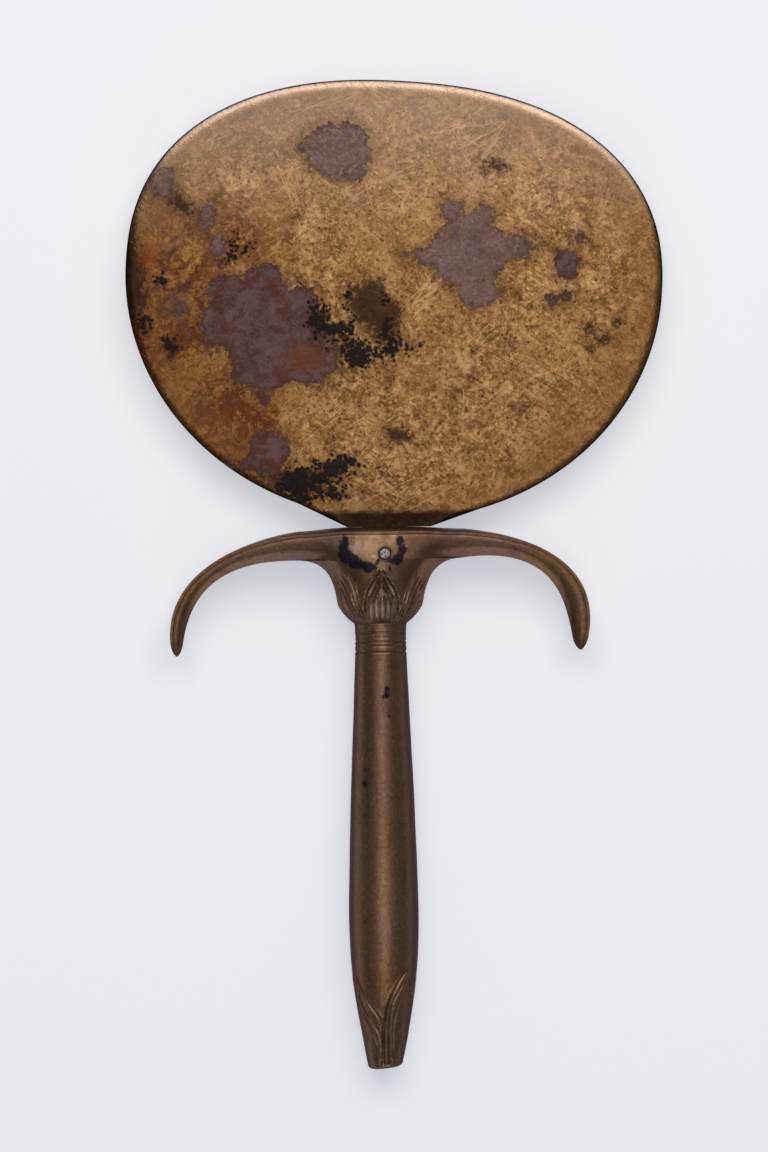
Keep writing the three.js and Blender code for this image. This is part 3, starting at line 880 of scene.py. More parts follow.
@dataclass
class MirrorDisk:
    """The cast disk: two half superellipses on one wide axis, sloping shoulders and a tang."""

    lay: Lay
    seat: RivetSeat
    centre: tuple[float, float] = (4.2, 60.35)
    turn: float = -4.16
    half_width: float = 65.15
    upper_height: float = 47.75
    upper_power: float = 2.32
    lower_height: float = 58.75
    lower_power: float = 2.01
    shoulder_left: float = -7.75
    shoulder_right: float = 12.4
    shoulder_y: float = 0.04
    tangency: float = 12
    # how far above the shoulders the painted shade beside the umbel reaches
    foot_shade_height: float = 5.2
    half_thickness: float = 0.95
    half_rim: float = 0.45
    bevel: float = 2.6
    tang_half_width: float = 5.6
    tang_length: float = 13
    rim_points: int = 452
    foot_points: int = 28
    front_rings: int = 108
    back_rings: int = 18
    curve_steps: int = 4000
    rim_steps: int = 3000
    bevel_power: float = 2.5
    wave_height: float = 0.03
    crust_height: float = 0.16
    tarnish_height: float = 0.05
    foot_dip: float = 0.45
    sharp_angle: float = 35
    # (distance in from the outline, level: shares of the back's rise below 0, of the rim above)
    back_edge: Pairs = ((1.4, -0.85), (0.84, -0.6), (0.35, -0.22), (0.08, 0.12), (0.0, 0.35))
    tarnish: tuple[Spot, ...] = (
        # upper left patch
        Spot(-9, 91.3, 8.2, 7), Spot(-9.3, 96.6, 3, 2), Spot(-15, 92.6, 3.2, 1.8),
        Spot(-6, 85.8, 3.2, 2.2),
        # star-shaped patch right of the middle
        Spot(22.4, 66.6, 9.4, 9.4), Spot(18.2, 76, 2.6, 3.6), Spot(26, 74, 3, 3.4, 20),
        Spot(32.4, 68.2, 5.4, 3, -12), Spot(24.6, 57.4, 5.4, 4), Spot(12.6, 65.3, 4.4, 2),
        # the large patch at the left
        Spot(-28, 50, 12, 10), Spot(-27, 60, 5, 4.4), Spot(-36, 57.6, 4.8, 3.4),
        Spot(-18.4, 53, 5.2, 5.6), Spot(-16.6, 42.4, 7.6, 8), Spot(-40, 50, 3, 7),
        Spot(-27, 38.4, 9, 4.8), Spot(-28.6, 32.4, 1.8, 3.2),
        # the broken trail above it
        Spot(-40.5, 76, 2, 3.6, -12), Spot(-38.4, 68, 1.8, 4.4), Spot(-47.5, 53.5, 2.8, 1.4),
        # small ones: far left, lower left and right
        Spot(-52, 84, 3.2, 3.4, -25), Spot(-26.5, 18, 5, 5.3), Spot(-33, 15.6, 4, 1.2),
        Spot(46.3, 62.7, 3, 3.8, -15), Spot(49.4, 69, 1.5, 2.1, -25), Spot(43, 54.6, 2.2, 1.9),
        Spot(46, 55.6, 1.8, 1.4, 30),
    )
    # where tarnish is dark and reddish: (across, along, fully within, not at all beyond)
    deep_tarnish: tuple = ((-29, 47, 16, 26), (46.5, 61.5, 8, 12), (-27, 17, 6, 9))
    stain: tuple[Spot, ...] = (
        # the dark patch above the crust, right of the large one
        Spot(-2, 54.6, 5.2, 7, -8), Spot(2, 50, 4.4, 6.6), Spot(-6.6, 56.4, 1.8, 2.2),
        # faint ones
        Spot(5, 22, 4, 2.6), Spot(51, 48, 2.2, 2), Spot(55, 45, 2.6, 2),
        Spot(51.6, 42.6, 1.8, 1.6), Spot(58.4, 49, 1.6, 2), Spot(29, 87, 4, 1.8),
        Spot(-47, 78.6, 4.6, 2.6, -40), Spot(-19, 76, 1.6, 1.2), Spot(-21, 71, 1.2, 1),
        Spot(-20, 12, 12, 3), Spot(-58.4, 60, 2.8, 15, 4), Spot(-50, 44, 2.4, 3),
    )
    crust: tuple[Spot, ...] = (
        # beside the large patch
        Spot(-14.2, 50, 2.4, 4.8), Spot(-9, 48, 4, 2.6), Spot(-5.4, 42.4, 3.4, 4),
        Spot(1.4, 42.6, 5.4, 1.8, 12), Spot(5.4, 44.6, 1.6, 1.6), Spot(2.4, 49, 0.9, 4),
        Spot(-7.6, 56.4, 0.7, 1.6),
        # above the left shoulder
        Spot(-19.6, 10.4, 5.6, 4.6), Spot(-11.6, 13.8, 5, 3.2), Spot(-7.6, 16, 3, 1.6),
        Spot(-11.4, 8.4, 4.4, 2),
        # little ones
        Spot(-33.6, 68.4, 1.9, 1.5), Spot(-35.2, 65.6, 1.7, 1.4), Spot(-51.4, 60.4, 1.4, 1.5),
        Spot(-56, 50, 1.4, 2.4), Spot(-50.5, 45, 1.3, 1.6),
    )
    ochre: tuple[Spot, ...] = (
        Spot(-52, 55, 16, 24), Spot(-38, 27, 15, 15), Spot(-34, 72, 10, 8),
    )
    rust: tuple[Spot, ...] = (
        Spot(-10, 77, 1.3, 1.2), Spot(52, 80, 2.2, 0.9), Spot(-18, 41, 5.2, 4),
        Spot(-55, 66, 2.4, 5), Spot(-58, 47, 2, 5), Spot(49, 68, 0.9, 1.6),
        Spot(35.4, 57.2, 1.4, 1.2),
    )

    def build(self) -> Piece:
        """Build and dress the disk with its tang.

        Returns:
            The finished disk.
        """
        piece = self.plate()
        combine(piece, self.tang(), "UNION")
        self.seat.drill(piece, self.half_thickness + 1)
        self.paint(piece.data)
        settle(piece, "mirror_disk_bronze", self.lay, self.sharp_angle)
        hand_over(piece, DiskBronze().make(), "disk_bronze", "mirror_disk")
        return piece

    def outline(self) -> Array:
        """The plate's outline, once round from the right shoulder over the top.

        Returns:
            Points, two columns.
        """
        angle = np.linspace(-math.pi / 2, 1.5 * math.pi, self.curve_steps)
        upper = np.sin(angle) >= 0
        power = np.where(upper, self.upper_power, self.lower_power)
        height = np.where(upper, self.upper_height, self.lower_height)
        across = self.half_width * np.sign(np.cos(angle)) * np.abs(np.cos(angle)) ** (2 / power)
        up = height * np.sign(np.sin(angle)) * np.abs(np.sin(angle)) ** (2 / power)
        turn = math.radians(self.turn)
        x = across * math.cos(turn) - up * math.sin(turn) + self.centre[0]
        y = across * math.sin(turn) + up * math.cos(turn) + self.centre[1]
        near = (x > self.shoulder_left - self.tangency) & (x < self.shoulder_right + self.tangency)
        kept = ~((y < self.centre[1]) & near)
        right = (self.shoulder_right, self.shoulder_y)
        left = (self.shoulder_left, self.shoulder_y)
        rim = np.vstack([[right], np.stack([x, y], axis=1)[kept], [left]])
        foot = np.linspace(left, right, self.foot_points + 2)[1:-1]
        return np.vstack([points_at(rim, np.linspace(0, 1, self.rim_points)), foot])

    def drawn_in(self, outline: Array, distance: float) -> Array:
        """The outline moved inwards, but for its foot, which meets the tang.

        Args:
            outline: The plate's outline.
            distance: How far in.

        Returns:
            The inner outline.
        """
        chord = np.roll(outline, -1, axis=0) - np.roll(outline, 1, axis=0)
        chord /= np.linalg.norm(chord, axis=1, keepdims=True)
        share = smoothstep(self.shoulder_y, self.shoulder_y + 4, outline[:, 1])[:, None]
        return outline + np.stack([-chord[:, 1], chord[:, 0]], axis=1) * distance * share

    def plate(self) -> Piece:
        """Make the plate from the middle of its back, round the rim, to the middle of its front.

        Returns:
            The plate.
        """
        outline = self.outline()
        inner, middle = self.drawn_in(outline, self.bevel), np.array(self.centre)
        rise = self.half_thickness - self.half_rim
        rings = [
            (middle + (inner - middle) * share, -self.half_thickness)
            for share in np.linspace(0.03, 1, self.back_rings)
        ]
        for distance, level in self.back_edge:
            height = level * (rise if level < 0 else self.half_rim)
            rings.append((self.drawn_in(outline, distance), height - self.half_rim))
        for level in (-0.3, 0.3, 0.75):
            rings.append((self.drawn_in(outline, 0.02), self.half_rim * level))
        for distance in np.linspace(0.12, self.bevel, 8)[:-1]:
            bulge = 1 - (1 - distance / self.bevel) ** self.bevel_power
            rings.append((self.drawn_in(outline, distance), self.half_rim + rise * bulge))
        for share in np.linspace(1, 0.012, self.front_rings):
            points = middle + (inner - middle) * share
            rings.append((points, self.half_thickness + self.face_relief(points)))
        loops = [np.column_stack([xy, np.broadcast_to(z, len(xy))]) for xy, z in rings]
        return loops_mesh("plate", np.array(loops))

    def face_relief(self, points: Array) -> Array:
        """Height of the front over the flat: waves, crust, and the dip above the tang.

        Args:
            points: Places on the face.

        Returns:
            Heights in millimetres.
        """
        flat = np.column_stack([points, np.zeros(len(points))])
        waves = self.wave_height * rough(flat, 0.035, 1) + 0.012 * rough(flat, 0.3, 4)
        crumbs = patch_field(self.crust, points) + 2.2 * rough(flat, 0.45, 3)
        built_up = smoothstep(0, 1.2, crumbs) * (self.crust_height + 0.1 * rough(flat, 1.1, 5))
        patches = patch_field(self.tarnish, points) + 2 * rough(flat, 0.3, 6)
        skin = self.tarnish_height * smoothstep(-0.5, 1, patches) * (1 + rough(flat, 0.8, 7))
        dip = -self.foot_dip * (1 - smoothstep(0.5, 4.8, points[:, 1]))
        inset = smoothstep(0, 2.5, self.rim_distance(points))
        return (waves + built_up + skin) * inset + dip

    def rim_distance(self, points: Array) -> Array:
        """Distance from each point to the plate's rim, in millimetres."""
        rim = points_at(self.outline()[: self.rim_points], np.linspace(0, 1, self.rim_steps))
        return np.array([np.hypot(*(rim - p).T).min() for p in points])

    def tang(self) -> Piece:
        """The tang, which reaches from inside the plate down into the handle."""
        side, half = self.tang_half_width, self.half_thickness - 0.02
        low = (self.seat.x - side, -self.tang_length, -half)
        return box_solid(low, (self.seat.x + side, self.shoulder_y + 0.4, half - 0.45))

    def paint(self, mesh: bpy.types.Mesh) -> None:
        """Store the patina's fields with the painted shade and highlight; the back carries the front's
        patches, mirrored.

        Args:
            mesh: The disk, still in the handle's frame.
        """
        places = vertex_values(mesh)
        x, y, z = places.T
        side = np.where(z > -0.2, 1, -1)[:, None]
        face = places[:, :2] * side + np.array(self.centre) * (1 - side)
        for layer, spots in (
            (Layer.TARNISH, self.tarnish),
            (Layer.CRUST, self.crust),
            (Layer.STAIN, self.stain),
            (Layer.OCHRE, self.ochre),
            (Layer.RUST, self.rust),
        ):
            add_layer(mesh, layer, patch_field(spots, face))
        outer = np.hypot(x - self.centre[0], y - self.centre[1]) >= 0.75 * self.upper_height
        rim = np.full(len(places), 20.0)
        rim[outer] = self.rim_distance(places[outer, :2])
        add_layer(mesh, Layer.RIM, rim)
        deep = [
            1 - smoothstep(within, beyond, np.hypot(face[:, 0] - across, face[:, 1] - up))
            for across, up, within, beyond in self.deep_tarnish
        ]
        add_layer(mesh, Layer.DEEP, np.max(deep, axis=0))
        # painted shade: darkens the face just above the tang, beside the umbel
        add_layer(mesh, Layer.FOOT_SHADE, self.foot_shade_height - y)
        # painted highlight along the top of the rim, and a fainter painted sheen over the upper face
        painted_highlight = smoothstep(60, 96, y - 0.1 * np.abs(x)) * smoothstep(3.2, 0.3, rim)
        add_layer(mesh, Layer.TOP_HIGHLIGHT, np.maximum(painted_highlight, 0.34 * smoothstep(64, 108, y)))


# ---- Corrosion grains ----


@dataclass
class CorrosionGrains:
    """Crumbs of black corrosion that stand on the crust, scattered by Geometry Nodes."""

    disk: Piece
    crowding: float = 2.6
    grain: float = 0.22
    least_crust: float = 0.6
    least_upward: float = 0.8
    smallest: tuple[float, float, float] = (0.5, 0.5, 0.3)
    largest: tuple[float, float, float] = (1.5, 1.5, 0.75)
    seed: int = 7

    def build(self) -> Piece:
        """Scatter the grains and turn them into one plain mesh.

        Returns:
            The finished grains.
        """
        material = CrumbCrust().make()
        carrier = bpy.data.objects.new("corrosion_grains", self.disk.data.copy())
        bpy.context.scene.collection.objects.link(carrier)
        tree = self.tree(material)
        modifier = carrier.modifiers.new("grains", "NODES")
        modifier.node_group = tree
        sizes = {"Crowding": self.crowding / MM**2, "Grain": self.grain * MM, "Seed": self.seed}
        for item in tree.interface.items_tree:
            if item.name in sizes:
                modifier[item.identifier] = sizes[item.name]
        made = evaluated_mesh(carrier)
        carrier.modifiers.remove(modifier)
        carrier.data = made
        hand_over(carrier, material, "disk_bronze")
        return carrier

    def tree(self, material: bpy.types.Material) -> bpy.types.NodeTree:
        """The node tree that scatters flattened grains where the crust is thick.

        Args:
            material: The grains' finish.

        Returns:
            The tree, with inputs Crowding, Grain and Seed.
        """
        tree = bpy.data.node_groups.new("scatter_grains", "GeometryNodeTree")
        sockets = {"Geometry": "Geometry", "Crowding": "Float", "Grain": "Float", "Seed": "Int"}
        for name, kind in sockets.items():
            tree.interface.new_socket(name, in_out="INPUT", socket_type="NodeSocket" + kind)
        tree.interface.new_socket("Geometry", in_out="OUTPUT", socket_type="NodeSocketGeometry")

        def add(kind: str, inputs: "dict | None" = None, **settings: object) -> bpy.types.NodeOutputs:
            """Add a node and give its outputs."""
            return add_node(tree, kind, inputs, **settings).outputs

        def above(value: Socket, least: float) -> Socket:
            """Whether a value lies above another."""
            settings = {"data_type": "FLOAT", "operation": "GREATER_THAN"}
            return add("FunctionNodeCompare", {"A": value, "B": least}, **settings)["Result"]

        entry = add("NodeGroupInput")
        crust = add("GeometryNodeInputNamedAttribute", {"Name": Layer.CRUST.value}, data_type="FLOAT")
        facing = add("ShaderNodeSeparateXYZ", {"Vector": add("GeometryNodeInputNormal")["Normal"]})
        thick = above(crust["Attribute"], self.least_crust)
        upward = above(facing["Z"], self.least_upward)
        both = add("FunctionNodeBooleanMath", {0: thick, 1: upward})
        scatter = add("GeometryNodeDistributePointsOnFaces", {
            "Mesh": entry["Geometry"],
            "Selection": both["Boolean"],
            "Density": entry["Crowding"],
            "Seed": entry["Seed"],
        })
        crumb = add("GeometryNodeMeshIcoSphere", {"Subdivisions": 2, "Radius": entry["Grain"]})
        bounds = {0: self.smallest, 1: self.largest, "Seed": entry["Seed"]}
        sizes = add("FunctionNodeRandomValue", bounds, data_type="FLOAT_VECTOR")
        placed = add("GeometryNodeInstanceOnPoints", {
            "Points": scatter["Points"],
            "Rotation": scatter["Rotation"],
            "Instance": crumb["Mesh"],
            "Scale": sizes[0],
        })
        real = add("GeometryNodeRealizeInstances", {"Geometry": placed["Instances"]})
        dressed = {"Geometry": real["Geometry"], "Material": material}
        finished = add("GeometryNodeSetMaterial", dressed)["Geometry"]
        add("NodeGroupOutput", {"Geometry": finished})
        return tree


# ---- Handle ----


@dataclass(frozen=True)
class Groove:
    """A line cut along the handle: (height, degrees from the front) pairs, from the top down."""

    path: Pairs
    depth: float = 0.22
    half: float = 0.3
    lip: float = 0.35

    def cut(self, y: Array, angle: Array, radius: Array) -> Array:
        """Height of the surface over its plain form near the line.

        Args:
            y: Heights along the stem.
            angle: Degrees from the front.
            radius: Distances from the stem's axis.

        Returns:
            Millimetres, negative in the groove, positive on the lip beside it.
        """
        down = sorted(self.path)
        middle = along(down, y)
        slope = (along(down, y + 0.2) - along(down, y - 0.2)) / 0.4
        per_degree = np.radians(1) * radius
        away = (angle - middle + 180) % 360 - 180
        away = away * per_degree / np.hypot(1, slope * per_degree)
        ends = smoothstep(down[0][0] - 0.3, down[0][0] + 0.5, y)
        ends = ends * smoothstep(down[-1][0] + 0.3, down[-1][0] - 0.7, y)
        lips = self.lip * (line_groove(np.abs(away) - 2.2 * self.half, 1.4 * self.half))
        return ends * self.depth * (lips - line_groove(away, self.half * 1.3))


def both_sides(grooves: Sequence[Groove]) -> list[Groove]:
    """The same grooves on the front and, turned half round, on the back."""
    turned = [replace(g, path=tuple((y, angle + 180) for y, angle in g.path)) for g in grooves]
    return [*grooves, *turned]


@dataclass(frozen=True)
class Arm:
    """One drooping arm of the umbel: control points from the root to the tip."""

    side: int
    rim: tuple
    under: tuple
    flare: tuple


@dataclass
class PapyrusHandle:
    """The cast handle: leafy foot, stem, ringed neck, calyx of sepals and drooping umbel."""

    lay: Lay
    seat: RivetSeat
    stem: Pairs = (
        (-131.3, 3.8), (-130.7, 4.2), (-118.7, 6.4), (-111, 7.55), (-103.2, 8.25),
        (-93.5, 8.47), (-68.2, 7.8), (-37.1, 6.5),
    )
    neck: Pairs = ((-26.5, 6.15), (-23.6, 6.3), (-22.8, 6.2), (-21.4, 5.0))
    foot_slant: float = 0.1
    foot_leaves_top: float = -106.8
    # (height, depth)
    rings: Pairs = ((-23.0, 0.12), (-25.6, 0.13), (-27.7, 0.12), (-28.7, 0.06), (-30.2, 0.13))
    ring_half: float = 0.3
    ring_lip: float = 0.05
    cup_height: float = -129.4
    cup_top: float = -129.2
    cup_radius: float = 1.5
    cup_depth: float = 0.28
    unevenness: float = 0.05
    left: Arm = Arm(
        -1,
        ((-14.2, -0.25), (-27.4, -1.0), (-55.0, -8.1), (-50.6, -30.9)),
        ((-19.1, -8.0), (-47.3, -6.8), (-47.4, -25.1), (-48.5, -31.0)),
        ((-19.1, -8.0), (-13.2, -8.2), (-11.0, -12.6), (-10.4, -17.7)),
    )
    right: Arm = Arm(
        1,
        ((14.9, -0.15), (30.4, -0.9), (56.5, -5.6), (49.7, -30.3)),
        ((19.7, -7.7), (47.0, -3.9), (45.2, -24.7), (47.4, -30.4)),
        ((19.7, -7.7), (13.4, -7.9), (11.0, -12.8), (10.4, -17.7)),
    )
    root_share: float = 0.1
    tip_share: float = 0.07
    bowl_top: float = -17.7
    bowl_half_width: float = 10.4
    bowl_widths: Pairs = (
        (-23.5, 6.2), (-23.0, 6.9), (-22.4, 7.6), (-20.6, 9.05), (-19.2, 9.95), (-17.7, 10.4),
    )
    bowl_depths: Pairs = (
        (-23.5, 6.2), (-23.0, 6.7), (-22.4, 7.2), (-20.6, 8.2), (-17.7, 9.4), (-1.6, 10.1),
    )
    bowl_bottom: float = -26
    half_depth: float = 10.55
    tip_depth: float = 1.7
    depth_power: float = 1.5
    lip_drop: float = 0.9
    crown_half_length: float = 37
    lip_height: float = 0.8
    lip_relief: float = 0.28
    core_y: float = -24
    sepal_apex: float = -9.9
    # (drop below the apex, degrees to the side)
    sepal_outline: Pairs = ((0, 0), (2.2, 8), (5.6, 20), (10.7, 27), (13, 26))
    calyx_foot: float = -22.4
    slot_half_width: float = 5.9
    slot_length: float = 13.3
    slot_half: float = 1.25
    arm_stations: int = 56
    bowl_stations: int = 104
    face_points: int = 101
    back_step: int = 3
    around_front: int = 110
    around_back: int = 46
    sharp_angle: float = 40
    worn: tuple[Spot, ...] = (
        Spot(-2.2, -4.4, 5.2, 3.6), Spot(2.8, -3.4, 3, 2), Spot(-1.4, -7, 2.4, 2.4),
        Spot(0.6, -9.6, 0.8, 1.2),
    )
    blue: tuple[Spot, ...] = (
        # left of the rivet
        Spot(-8.7, -4.3, 1.2, 2.2, -10), Spot(-8.2, -6.8, 1.8, 1.9), Spot(-6.1, -8.2, 2.2, 1.6, -35),
        Spot(-3.0, -9.5, 2.2, 1.4, -12),
        # right of it and below
        Spot(4.9, -3.5, 1.1, 1.5), Spot(5.4, -5.6, 0.9, 2.1), Spot(4.4, -7.7, 1.3, 1.5, -35),
        Spot(2.6, -8.1, 1.3, 0.7), Spot(2.4, -10.2, 0.5, 0.9), Spot(-0.5, -8.2, 0.5, 1.2, -25),
        # on the stem
        Spot(1.3, -39, 0.7, 0.8), Spot(1.2, -40.8, 1, 0.9), Spot(0.4, -44.2, 0.45, 0.5),
        Spot(1.8, -45.6, 0.4, 0.4), Spot(-3.8, -58.8, 0.7, 0.6), Spot(-4.2, -61.8, 0.5, 0.7),
    )
    pink: tuple[Spot, ...] = (
        Spot(-5.6, -4.9, 2.2, 1.0, 60), Spot(-5.4, -5.2, 1.8, 0.7, -15), Spot(-3.4, -4.0, 0.9, 0.9),
    )

    def build(self) -> Piece:
        """Build and dress the handle.

        Returns:
            The finished handle.
        """
        piece = self.stem_solid()
        combine(piece, self.head_solid(), "UNION")
        slot_low = (self.seat.x - self.slot_half_width, -self.slot_length, -self.slot_half)
        slot_high = (self.seat.x + self.slot_half_width, 5, self.slot_half)
        combine(piece, box_solid(slot_low, slot_high))
        self.seat.drill(piece, self.half_depth + 2)
        settle(piece, "papyrus_handle", self.lay, self.sharp_angle)
        # the umbel's back is flat where the mirror rests on it
        combine(piece, box_solid((-0.08, -0.03, -0.02), (0.08, 0.03, 0.0)))
        shade(piece.data, self.sharp_angle)
        self.paint(piece.data)
        hand_over(piece, HandleBronze().make(), "handle_bronze", "handle")
        return piece

    # -- stem --

    def stem_solid(self) -> Piece:
        """The stem from its slanted foot to its neck, carved.

        Returns:
            The stem.
        """
        foot, top = self.stem[0][0], self.neck[-1][0]
        rows = np.concatenate([
            [foot, foot + 0.15, foot + 0.35],
            np.arange(foot + 0.6, self.foot_leaves_top, 0.25),
            np.arange(self.foot_leaves_top, -33, 1.05),
            np.arange(-33, top, 0.14),
            [top],
        ])
        quarter = math.pi / 2
        turn = np.concatenate([
            np.linspace(-quarter, quarter, self.around_front, endpoint=False),
            np.linspace(quarter, 3 * quarter, self.around_back, endpoint=False),
        ])
        y, angle = np.meshgrid(rows, turn, indexing="ij")
        radius = along([*self.stem, *self.neck], y)
        radius = radius - 0.35 * (1 - smoothstep(foot, foot + 0.7, y)) ** 2
        carved = radius + self.stem_carving(y, np.degrees(angle), radius)
        x = carved * np.sin(angle)
        slant = self.foot_slant * (1 - smoothstep(foot, foot + 6, y))
        return loops_mesh("stem", np.stack([x, y + slant * x, carved * np.cos(angle)], axis=-1))

    def stem_carving(self, y: Array, degrees: Array, radius: Array) -> Array:
        """How far the stem's surface stands off its plain form.

        Args:
            y: Heights along the stem.
            degrees: Angles from the front.
            radius: The plain radius.

        Returns:
            Millimetres.
        """
        rise = np.zeros_like(y)
        for height, depth in self.rings:
            away = y - height
            rise -= depth * line_groove(away, self.ring_half)
            rise += self.ring_lip * line_groove(np.abs(away) - 1.9 * self.ring_half, self.ring_half)
        for groove in both_sides(self.foot_leaves()):
            rise += groove.cut(y, degrees, radius)
        signed = (degrees + 180) % 360 - 180
        across = signed * np.radians(1) * radius - 0.1
        cup = line_groove(np.hypot(across, (y - self.cup_height) * 0.95) - self.cup_radius, 0.5)
        cup = cup * (y < self.cup_top) * (np.abs(signed) < 60) * self.cup_depth
        points = [radius * np.sin(np.radians(degrees)), y, radius * np.cos(np.radians(degrees))]
        points = np.stack(points, axis=-1)
        return rise + cup + self.unevenness * rough(points, 0.12, 11) + 0.018 * rough(points, 0.7, 12)

    def foot_leaves(self) -> list[Groove]:
        """Outlines and veins of the leaves that wrap the foot's front.

        Returns:
            The grooves.
        """
        left = ((-108.3, -62), (-110.8, -54), (-115.3, -34), (-119.9, -8), (-130.6, -10))
        right = ((-107.4, 42), (-109.4, 30), (-111.6, 20), (-115.5, 6), (-120.8, -2), (-130.6, -5))
        lines = [
            Groove(left, 0.26, 0.26),
            Groove(((-113, -60), (-116.2, -50), (-119.8, -30), (-123, -13), (-127, -12)), 0.18, 0.24),
            Groove(((-117.5, -54), (-121, -36), (-126, -16)), 0.14, 0.24),
            Groove(right, 0.26, 0.26),
            Groove(((-109.8, 40), (-112, 29), (-115.5, 15), (-120.8, 9), (-130.6, 12)), 0.2, 0.24),
            Groove(((-112.6, 41), (-116, 28), (-121, 20), (-127, 22)), 0.14, 0.24),
        ]
        for fan in (-6, 0, 6):
            lines.append(Groove(((-108.5, fan - 77), (-114, fan - 73), (-125, fan - 62)), 0.2))
            lines.append(Groove(((-109.5, fan + 58), (-116, fan + 62), (-125, fan + 70)), 0.2))
        return lines

    # -- head: calyx, umbel and arms --

    def head_solid(self) -> Piece:
        """The calyx, umbel and arms as one skin from tip to tip, carved.

        Returns:
            The head.
        """
        left, right = self.arm_loops(self.left), self.arm_loops(self.right)
        loops = np.array([*left, *right[::-1][1:]])
        around = np.roll(loops, -1, axis=1) - np.roll(loops, 1, axis=1)
        normal = np.cross(around, np.gradient(loops, axis=0))
        normal /= np.maximum(np.linalg.norm(normal, axis=-1, keepdims=True), 1e-9)
        normal *= np.sign((normal * (loops - loops.mean(axis=1, keepdims=True))).sum())
        return loops_mesh("head", loops + normal * self.head_carving(loops)[..., None])

    def arm_loops(self, arm: Arm) -> list[Array]:
        """Sections from an arm's tip to the middle of the head.

        Args:
            arm: The arm's curves.

        Returns:
            One closed loop of points for each section.
        """
        rim, under, flare = bezier(arm.rim), bezier(arm.under), bezier(arm.flare)
        rim_length = np.linalg.norm(np.diff(rim, axis=0), axis=1).sum()
        root = abs(arm.rim[0][0])
        length = rim_length + root
        shares = np.concatenate([
            [0.999, 0.996, 0.99, 0.983, 0.974],
            np.linspace(0.962, 0, self.arm_stations, endpoint=False),
        ])
        rim_shares = self.root_share + (1 - self.root_share) * shares
        rims, unders = points_at(rim, rim_shares), points_at(under, shares)
        tip = np.clip((shares - 1 + self.tip_share) / self.tip_share, 0, 1)
        pinch = 0.5 * (1 - np.sqrt(1 - tip**2))[:, None]
        rims, unders = rims + (unders - rims) * pinch, unders + (rims - unders) * pinch
        loops = []
        for rim_point, under_point, share in zip(rims, unders, rim_shares):
            loops.append(self.section(rim_point, under_point, (root + share * rim_length) / length, arm))
        start = points_at(rim, self.root_share)
        heights = np.linspace(self.bowl_top, self.bowl_widths[0][0], 60)[1:]
        bowl = np.column_stack([arm.side * along(self.bowl_widths, heights), heights])
        neck = arm.side * self.bowl_widths[0][1]
        lower = np.vstack([flare, bowl, [[neck, self.bowl_bottom], [0, self.bowl_bottom]]])
        shares = np.linspace(0, 1, self.bowl_stations)
        for share, under_point in zip(shares, points_at(lower, shares)):
            across = start[0] * (1 - share)
            rim_point = np.array([across, start[1] * float(1 - smoothstep(0, 0.6, share))])
            loops.append(self.section(rim_point, under_point, abs(across) / length, arm, share))
        return loops

    def section(self, rim: Array, under: Array, share: float, arm: Arm, inner: float = -1) -> Array:
        """One closed section of the head, from the rim down the front and up the back.

        Args:
            rim: Where it starts, on the rim, two coordinates.
            under: Where it ends below, two coordinates.
            share: How far out along the arm it is, 0 at the middle.
            arm: The arm that it belongs to.
            inner: Over the bowl, how far from the flare to the middle; negative on the arm.

        Returns:
            The loop's points.
        """
        blunt = math.sqrt(max(0, 1 - max(0, (share - 0.94) / 0.06) ** 2))
        taper = 1 - (1 - self.tip_depth / self.half_depth) * share**self.depth_power
        depth = self.half_depth * taper * max(blunt, 0.3)
        crown = self.lip_drop * max(0, 1 - (rim[0] / self.crown_half_length) ** 2)
        start = np.array([rim[0], rim[1] - crown])
        reach = float(np.linalg.norm(under - start))
        direction = (under - start) / reach
        lip = min(self.lip_height, reach * 0.25)
        relief = self.lip_relief * min(1, depth / self.half_depth + 0.2)
        lip_run = [(0, depth - 0.15), (0.12, depth), (lip * 0.85, depth), (lip, depth - 0.06)]
        lip_run += [(lip * 1.12, depth - relief * 1.25), (lip * 1.4, depth - relief * 1.1)]
        q = np.linspace(0, math.pi / 2, self.face_points)
        body = lip * 1.7 + (reach - lip * 1.7) * np.sin(q)
        swell = (depth - relief) * np.cos(q)
        if inner >= 0:
            points = start + direction * body[:, None]
            swell = self.bowl_height(points, start[1] - lip, depth - relief, arm, swell, inner)
        down = np.vstack([lip_run, np.column_stack([body, swell])])
        front = np.column_stack([start + direction * down[:, :1], down[:, 1]])
        back = front[:: -self.back_step] * [1, 1, -1]
        if abs(front[-1, 2]) < 1e-6:
            back[0, 2] = -1e-4
        top_share = np.linspace(-1, 1, 10)[1:-1]
        top_rise = crown * (1 - top_share**2)
        top = np.column_stack([start - direction * top_rise[:, None], (depth - 0.15) * top_share])
        return np.vstack([front, back, top])

